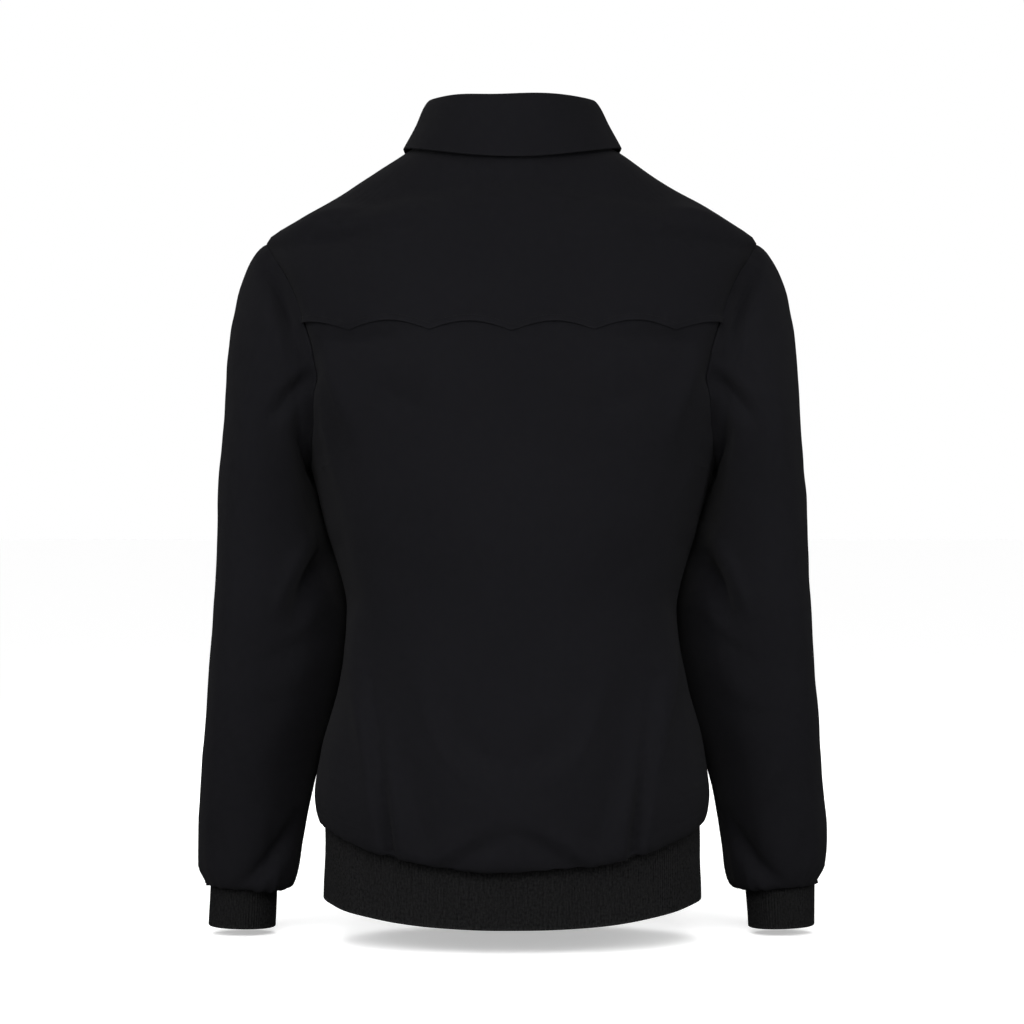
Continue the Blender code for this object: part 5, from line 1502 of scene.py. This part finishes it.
def buttonhole_plan(length):
    """Across each lip, three spots a stitch: distance along the slit and beside it."""
    start, end = -0.15 * length, 0.85 * length
    rows = []
    for along in np.arange(start, end, HOLE_STITCH):
        for side in (-1, 1):
            rows.append([(along, side * (SLIT_HALF + HOLE_LIP * part)) for part in (0.0, 0.5, 1.0)])
    for tip, way in ((start, -1), (end, 1)):
        for turn in np.linspace(0, math.pi, 7):
            rows.append([(tip + way * math.sin(turn) * far, math.cos(turn) * far)
                         for far in (SLIT_TIP, 0.0008, SLIT_TIP + HOLE_LIP)])
    return np.moveaxis(np.array(rows), -1, 0)


hole_rows = []
for side in SIDES.values():
    along, beside = buttonhole_plan(FLAP_HOLE)
    hole_rows += list(on_flap(beside, FLAP_BUTTON_ACROSS + along, HOLE_RAISE, side)[0])
for down in BAND_BUTTON_DOWNS.values():
    along, beside = buttonhole_plan(BAND_HOLE)
    place = down + beside, BAND_BUTTON_TURN - along / NECK_HALF
    hole_rows += list(lay_on(stand_surface, *place, lift=HOLE_RAISE, flip=-1)[0])
sew("buttonholes", hole_rows, *BINDING, "shell_twill")

# %% [markdown]
# Each button is held by a cross of thread through its four holes: two diagonals, each of two
# strands that bow a little over the face.

# %% Button thread
STRAND_OFF = 0.00018
STRAND_BOW = 0.00045
STRAND_Z = 0.0003
SEWING = (0.0005, 0.0007, 0.00019)
thread_rows = []
for seat in button_places:
    for slope in (1, -1):
        start = Vector((-HOLE_OFF, -HOLE_OFF * slope, 0.0))
        end = Vector((HOLE_OFF, HOLE_OFF * slope, 0.0))
        for shift in (-STRAND_OFF, STRAND_OFF):
            row = []
            for step in np.linspace(0, 1, 9):
                bow = STRAND_BOW * math.sin(math.pi * step) - 0.0001
                row.append(seat @ (start.lerp(end, step) + Vector((shift, 0, STRAND_Z + bow))))
            thread_rows.append(row)
sew("button_thread", thread_rows, *SEWING, "button")

# %% [markdown]
# ## Finishes
#
# The twill is near black, dull, with a faint bloom where it turns away from the eye: that is its
# short nap, and the sheen of the shader stands for it. The weave itself is diagonal lines half a
# millimetre apart, drawn on the cloth map and used as a bump. The same map carries the loops of
# the knit. Nothing here is an image: each pattern is worked out from a few waves.


# %% Node groups shared by the cloths
def shader_group(name, inputs, outputs):
    tree = bpy.data.node_groups.new(name, "ShaderNodeTree")
    for socket, value in inputs.items():
        item = tree.interface.new_socket(socket, in_out="INPUT", socket_type=FLOAT)
        item.default_value = value
    for socket in outputs:
        tree.interface.new_socket(socket, in_out="OUTPUT", socket_type=FLOAT)
    return tree, tree.nodes.new("NodeGroupInput").outputs


def cloth_axes(tree):
    """Metres across and down the cloth."""
    place = add_node(tree, "ShaderNodeUVMap", uv_map="cloth").outputs[0]
    parts = add_node(tree, "ShaderNodeSeparateXYZ", {0: place}).outputs
    return place, parts[0], parts[1]


def object_place(tree):
    return add_node(tree, "ShaderNodeTexCoord").outputs["Object"]


def noise_of(tree, place, scale, detail):
    inputs = {"Vector": place, "Scale": scale, "Detail": detail}
    return add_node(tree, "ShaderNodeTexNoise", inputs).outputs[0]


def wave_of(tree, value, turns):
    """A wave from 0 to 1 with that many turns to a metre."""
    angle = math_of(tree, "MULTIPLY", value, turns)
    return math_of(tree, "MULTIPLY_ADD", math_of(tree, "SINE", angle), 0.5, 0.5)


def twill_group():
    """Diagonal twill lines, broken into yarns and uneven like spun cotton."""
    tree, given = shader_group("twill_weave", {"Pitch": 0.0006}, ["Height", "Shade"])
    place, across, down = cloth_axes(tree)
    turns = math_of(tree, "DIVIDE", 2 * math.pi, given["Pitch"])
    diagonal = math_of(tree, "MULTIPLY_ADD", across, 0.80, math_of(tree, "MULTIPLY", down, 0.60))
    fuzz = noise_of(tree, place, 900.0, 2.0)
    slub = noise_of(tree, place, 160.0, 3.0)
    lines = wave_of(tree, math_of(tree, "MULTIPLY_ADD", fuzz, 0.00012, diagonal), turns)
    yarns = wave_of(tree, down, math_of(tree, "MULTIPLY", turns, 1.4))
    body = math_of(tree, "MULTIPLY_ADD", math_of(tree, "MULTIPLY", lines, yarns), 0.35, lines)
    height = math_of(tree, "MULTIPLY_ADD", slub, 0.35, body)
    shade = math_of(tree, "MULTIPLY_ADD", slub, 0.5, math_of(tree, "MULTIPLY", lines, 0.5))
    add_node(tree, "NodeGroupOutput", {"Height": height, "Shade": shade})
    return tree


def knit_group():
    """Chevrons of knit loops in columns, with a few paler fibres spun in."""
    tree, given = shader_group("knit_loops", {"Column": 0.0012, "Loop": 0.0011}, ["Height", "Shade"])
    place, across, down = cloth_axes(tree)
    columns = math_of(tree, "DIVIDE", across, given["Column"])
    fold = math_of(tree, "ABSOLUTE", math_of(tree, "SUBTRACT", math_of(tree, "FRACT", columns), 0.5))
    loops = math_of(tree, "DIVIDE", down, given["Loop"])
    lines = wave_of(tree, math_of(tree, "ADD", loops, fold), 2 * math.pi)
    rounds = math_of(tree, "MULTIPLY", math_of(tree, "SUBTRACT", 0.5, fold), 1.2)
    fuzz = noise_of(tree, place, 1200.0, 3.0)
    height = math_of(tree, "MULTIPLY_ADD", fuzz, 0.5, math_of(tree, "ADD", lines, rounds))
    flecks = noise_of(tree, place, 480.0, 1.0)
    mixed = math_of(tree, "MULTIPLY_ADD", flecks, 1.9, math_of(tree, "MULTIPLY_ADD", lines, 0.4, -0.85))
    shade = math_of(tree, "MULTIPLY_ADD", fuzz, 0.6, mixed)
    add_node(tree, "NodeGroupOutput", {"Height": height, "Shade": shade})
    return tree


def wear_group():
    """How rubbed the cloth is: edges, and faint broad patches."""
    tree, given = shader_group("cloth_wear", {"Edges": 1.0, "Patches": 1.0}, ["Wear"])
    edge = add_node(tree, "ShaderNodeAttribute", attribute_name="edge").outputs["Fac"]
    patch = noise_of(tree, object_place(tree), 9.0, 4.0)
    patches = math_of(tree, "MULTIPLY", math_of(tree, "SUBTRACT", patch, 0.5), given["Patches"])
    wear = math_of(tree, "MULTIPLY_ADD", edge, given["Edges"], patches)
    add_node(tree, "NodeGroupOutput", {"Wear": wear})
    return tree


groups = {"twill": twill_group(), "knit": knit_group(), "wear": wear_group()}
print("shared effects:", sorted(groups))

# %% [markdown]
# A cloth's own shader stays in its material, so a scene that uses the jacket can find and change
# its roughness or sheen in one place. The groups only hand it colours, masks and heights. The
# flecks in the knit are its heather: a few paler fibres are spun into the yarn.

# %% Cloth finishes
TWILL = (0.0034, 0.0034, 0.0040), (0.0068, 0.0067, 0.0078)      # darkest and lightest
KNIT = (0.0014, 0.0014, 0.0015), (0.0090, 0.0090, 0.0092)
TWILL_BUMP, KNIT_BUMP, TAPE_BUMP = 0.00008, 0.00014, 0.00010
WEAR = {"Edges": 0.25, "Patches": 0.3}
TAPE_LOOPS = {"Column": 0.0008, "Loop": 0.0006}


def mix_colors(tree, share, first, second):
    inputs = {0: share, 6: (*first, 1.0), 7: (*second, 1.0)}
    return add_node(tree, "ShaderNodeMix", inputs, data_type="RGBA").outputs[2]


def set_shader(material, fed, **values):
    """Plain values on the material's own shader, and what feeds its other sockets."""
    shader = material.node_tree.nodes["Principled BSDF"]
    for name, value in values.items():
        shader.inputs[name.replace("_", " ")].default_value = value
    for name, output in fed.items():
        material.node_tree.links.new(output, shader.inputs[name])


def cloth(slot, pattern, colors, bump, loops=None, **values):
    """Woven or knitted: the pattern gives colour and relief, and wear lightens it."""
    tree = mats[slot].node_tree
    weave = add_node(tree, "ShaderNodeGroup", loops, node_tree=groups[pattern]).outputs
    wear = add_node(tree, "ShaderNodeGroup", WEAR, node_tree=groups["wear"]).outputs["Wear"]
    color = mix_colors(tree, math_of(tree, "ADD", weave["Shade"], wear), *colors)
    relief = {"Height": weave["Height"], "Distance": bump, "Strength": 1.0}
    fed = {"Base Color": color, "Normal": add_node(tree, "ShaderNodeBump", relief).outputs[0]}
    set_shader(mats[slot], fed, **values)


cloth("shell_twill", "twill", TWILL, TWILL_BUMP,
      Roughness=0.85, Sheen_Weight=0.013, Sheen_Roughness=0.5, Specular_IOR_Level=0.0)
cloth("rib_knit", "knit", KNIT, KNIT_BUMP,
      Roughness=0.9, Sheen_Weight=0.012, Sheen_Roughness=0.55, Specular_IOR_Level=0.0)
cloth("zip_tape", "knit", KNIT, TAPE_BUMP, TAPE_LOOPS,
      Roughness=0.8, Sheen_Weight=0.03, Specular_IOR_Level=0.08)
print("cloths:", [mats[slot].name for slot in ("shell_twill", "rib_knit", "zip_tape")])

# %% [markdown]
# Thread, button and metal are plain finishes that a fine noise makes uneven: the twist of the
# thread, clouds in the plastic, and tarnish on the metal. The zip's slider, tab and box are solids
# of the frame that need no shell, so they only take the metal.

# %% Thread, buttons and metal
THREAD_TINTS = (0.0032, 0.0032, 0.0037), (0.0066, 0.0066, 0.0074)
BUTTON_TINTS = (0.006, 0.006, 0.007), (0.012, 0.012, 0.013)
METAL_TINTS = (0.030, 0.030, 0.032), (0.062, 0.061, 0.063)


def uneven(slot, scale, detail, colors, gloss=None, bump=None, **values):
    """A noise mixes the colours, and moves the roughness or the relief."""
    tree = mats[slot].node_tree
    noise = noise_of(tree, object_place(tree), scale, detail)
    fed = {"Base Color": mix_colors(tree, noise, *colors)}
    if gloss:
        fed["Roughness"] = math_of(tree, "MULTIPLY_ADD", noise, *gloss)
    if bump:
        fed["Normal"] = add_node(tree, "ShaderNodeBump", {"Height": noise, "Distance": bump}).outputs[0]
    set_shader(mats[slot], fed, **values)


uneven("thread", 2600.0, 2.0, THREAD_TINTS, bump=0.00005,
       Roughness=0.6, Sheen_Weight=0.012, Specular_IOR_Level=0.05)
uneven("button", 700.0, 4.0, BUTTON_TINTS, gloss=(0.18, 0.24), Roughness=0.32, Specular_IOR_Level=0.5)
uneven("zip_metal", 420.0, 5.0, METAL_TINTS, gloss=(0.25, 0.22), Metallic=1.0)
for name in ("zip_slider", "zip_pull", "zip_box"):
    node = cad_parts[name]
    node.data.materials.clear()
    node.data.materials.append(mats["zip_metal"])
print("finishes:", [material.name for material in mats.values()])

# %% [markdown]
# ## Floor, light and camera
#
# A pale floor and a white surround light the cloth softly from all sides, and a few large lamps
# give the folds their shape.

# %% Floor and surround
FLOOR_Z = -0.690
FLOOR_HALF = 40
FLOOR_SEEN, FLOOR_BOUNCE = (0.90, 0.90, 0.90), (0.30, 0.30, 0.30)
FLOOR_GLOW = 0.42           # keeps the shadow on the floor pale
SURROUND = 0.20             # light from the white surround, which itself is seen as plain white
WHITE = (1.0, 1.0, 1.0, 1.0)


def add_to_stage(name, data):
    made = link_object(name, data)
    return made


def seen_by_camera(tree):
    return add_node(tree, "ShaderNodeLightPath").outputs["Is Camera Ray"]


floor_mesh = bpy.data.meshes.new("floor")
floor_corners = [(FLOOR_HALF * x, FLOOR_HALF * y, FLOOR_Z) for x, y in CORNERS]
floor_mesh.from_pydata(floor_corners, [], [(0, 1, 2, 3)])
floor_material = bpy.data.materials.new("pale floor")
floor_material.use_nodes = True
tree = floor_material.node_tree
seen = seen_by_camera(tree)
fed = {"Base Color": mix_colors(tree, seen, FLOOR_BOUNCE, FLOOR_SEEN)}
fed["Emission Strength"] = math_of(tree, "MULTIPLY", seen, FLOOR_GLOW)
set_shader(floor_material, fed, Roughness=0.9, Specular_IOR_Level=0.1, Emission_Color=WHITE)
floor_mesh.materials.append(floor_material)
add_to_stage("floor", floor_mesh)

world = bpy.data.worlds.new("white surround")
bpy.context.scene.world = world
world.use_nodes = True
tree = world.node_tree
background = tree.nodes["Background"].inputs
background["Color"].default_value = WHITE
strength = math_of(tree, "MULTIPLY_ADD", seen_by_camera(tree), 1.0 - SURROUND, SURROUND)
tree.links.new(strength, background["Strength"])
print("floor at", FLOOR_Z, "m")

# %% [markdown]
# A broad lamp high behind lights the back, two low ones rake its sides so that the folds show, and
# one in front fills the other side. A soft sun stands for the light from above.


# %% Lamps
def add_lamp(name, place, target, size, power):
    light = bpy.data.lights.new(name, "AREA")
    light.shape = "RECTANGLE"
    light.size, light.size_y = size
    light.energy = power
    lamp = add_to_stage(name, light)
    lamp.location = place
    lamp.rotation_euler = (Vector(target) - Vector(place)).to_track_quat("-Z", "Y").to_euler()


add_lamp("high back lamp", (0.15, 2.25, 0.65), (0, 0, -0.15), (1.5, 0.9), 42)
add_lamp("left lamp", (0.95, 1.0, -0.34), (0.1, 0, -0.36), (0.35, 0.9), 10.4)
add_lamp("right lamp", (-0.95, 1.0, -0.36), (-0.1, 0, -0.36), (0.35, 0.9), 10.4)
add_lamp("front lamp", (0.6, -2.4, 1.2), (0, 0, -0.3), (1.4, 1.2), 48)
sun_light = bpy.data.lights.new("soft overhead", "SUN")
sun_light.energy = 1.9
sun_light.angle = math.radians(70)
sun = add_to_stage("soft overhead", sun_light)
sun.rotation_euler = (math.radians(-42), math.radians(4), 0)
print("lamps:", len(bpy.data.lights))

# %% [markdown]
# The camera stands level with the middle of the jacket and far enough away that it bends nothing.

# %% Camera
CAMERA_AWAY = 2.75
CAMERA_Z = -0.314
PICTURE_WIDTH = 0.90112     # metres across the picture at the middle of the jacket
SENSOR = 36
lens = bpy.data.cameras.new("camera")
lens.sensor_width = SENSOR
lens.lens = SENSOR * CAMERA_AWAY / PICTURE_WIDTH
camera = link_object("camera", lens)
camera.location = (0, CAMERA_AWAY, CAMERA_Z)
camera.rotation_euler = (math.radians(90), 0, math.radians(180))
bpy.context.scene.camera = camera
bpy.context.scene.view_settings.view_transform = "Standard"
bpy.context.scene.view_settings.look = "None"
print("camera:", CAMERA_AWAY, "m behind the jacket")

# %% [markdown]
# ## The flat cuts of the sheets
#
# Cloth is modelled here in one fixed shape, so a table lists what each sheet was before it was
# sewn: the width and length of its flat cut, its area where the cut is no rectangle, how it is held
# and what it rests on. Each row prints the model's cloth as a share of its cut. The rib bands are
# cut shorter than they are worn, and the seam stretches them.

# %% Sheets
Sheet = namedtuple("Sheet", "piece width length area held rests_on")
SHEETS = [
    Sheet("back_panel", 0.530, 0.670, 0.285, "hung", []),
    *[Sheet(f"front_panel_{side}", 0.265, 0.660, 0.130, "hung", []) for side in SIDES],
    Sheet("yoke_panel", 0.440, 0.200, 0.078, "laid", ["back_panel"]),
    *[Sheet(f"sleeve_panel_{side}", 0.420, 0.620, 0.187, "gathered", []) for side in SIDES],
    Sheet("hem_knit", 0.800, 0.062, None, "stretched", []),
    *[Sheet(f"cuff_knit_{side}", 0.165, 0.048, None, "stretched", []) for side in SIDES],
    Sheet("collar_band", 0.510, 0.044, None, "folded", []),
    Sheet("collar_leaf", 0.450, 0.068, None, "folded", ["collar_band"]),
    *[Sheet(f"flap_{side}", 0.150, 0.052, None, "laid", [f"front_panel_{side}"]) for side in SIDES],
    *[Sheet(f"tape_{side}", 0.0125, 0.622, None, "laid", [f"front_panel_{side}"]) for side in SIDES],
]
for row in SHEETS:
    share = cloth_area(row.piece) / (row.area or row.width * row.length)
    print(f"{row.piece}: {row.width} x {row.length} m, cloth in the model {share:.2f} of the cut")
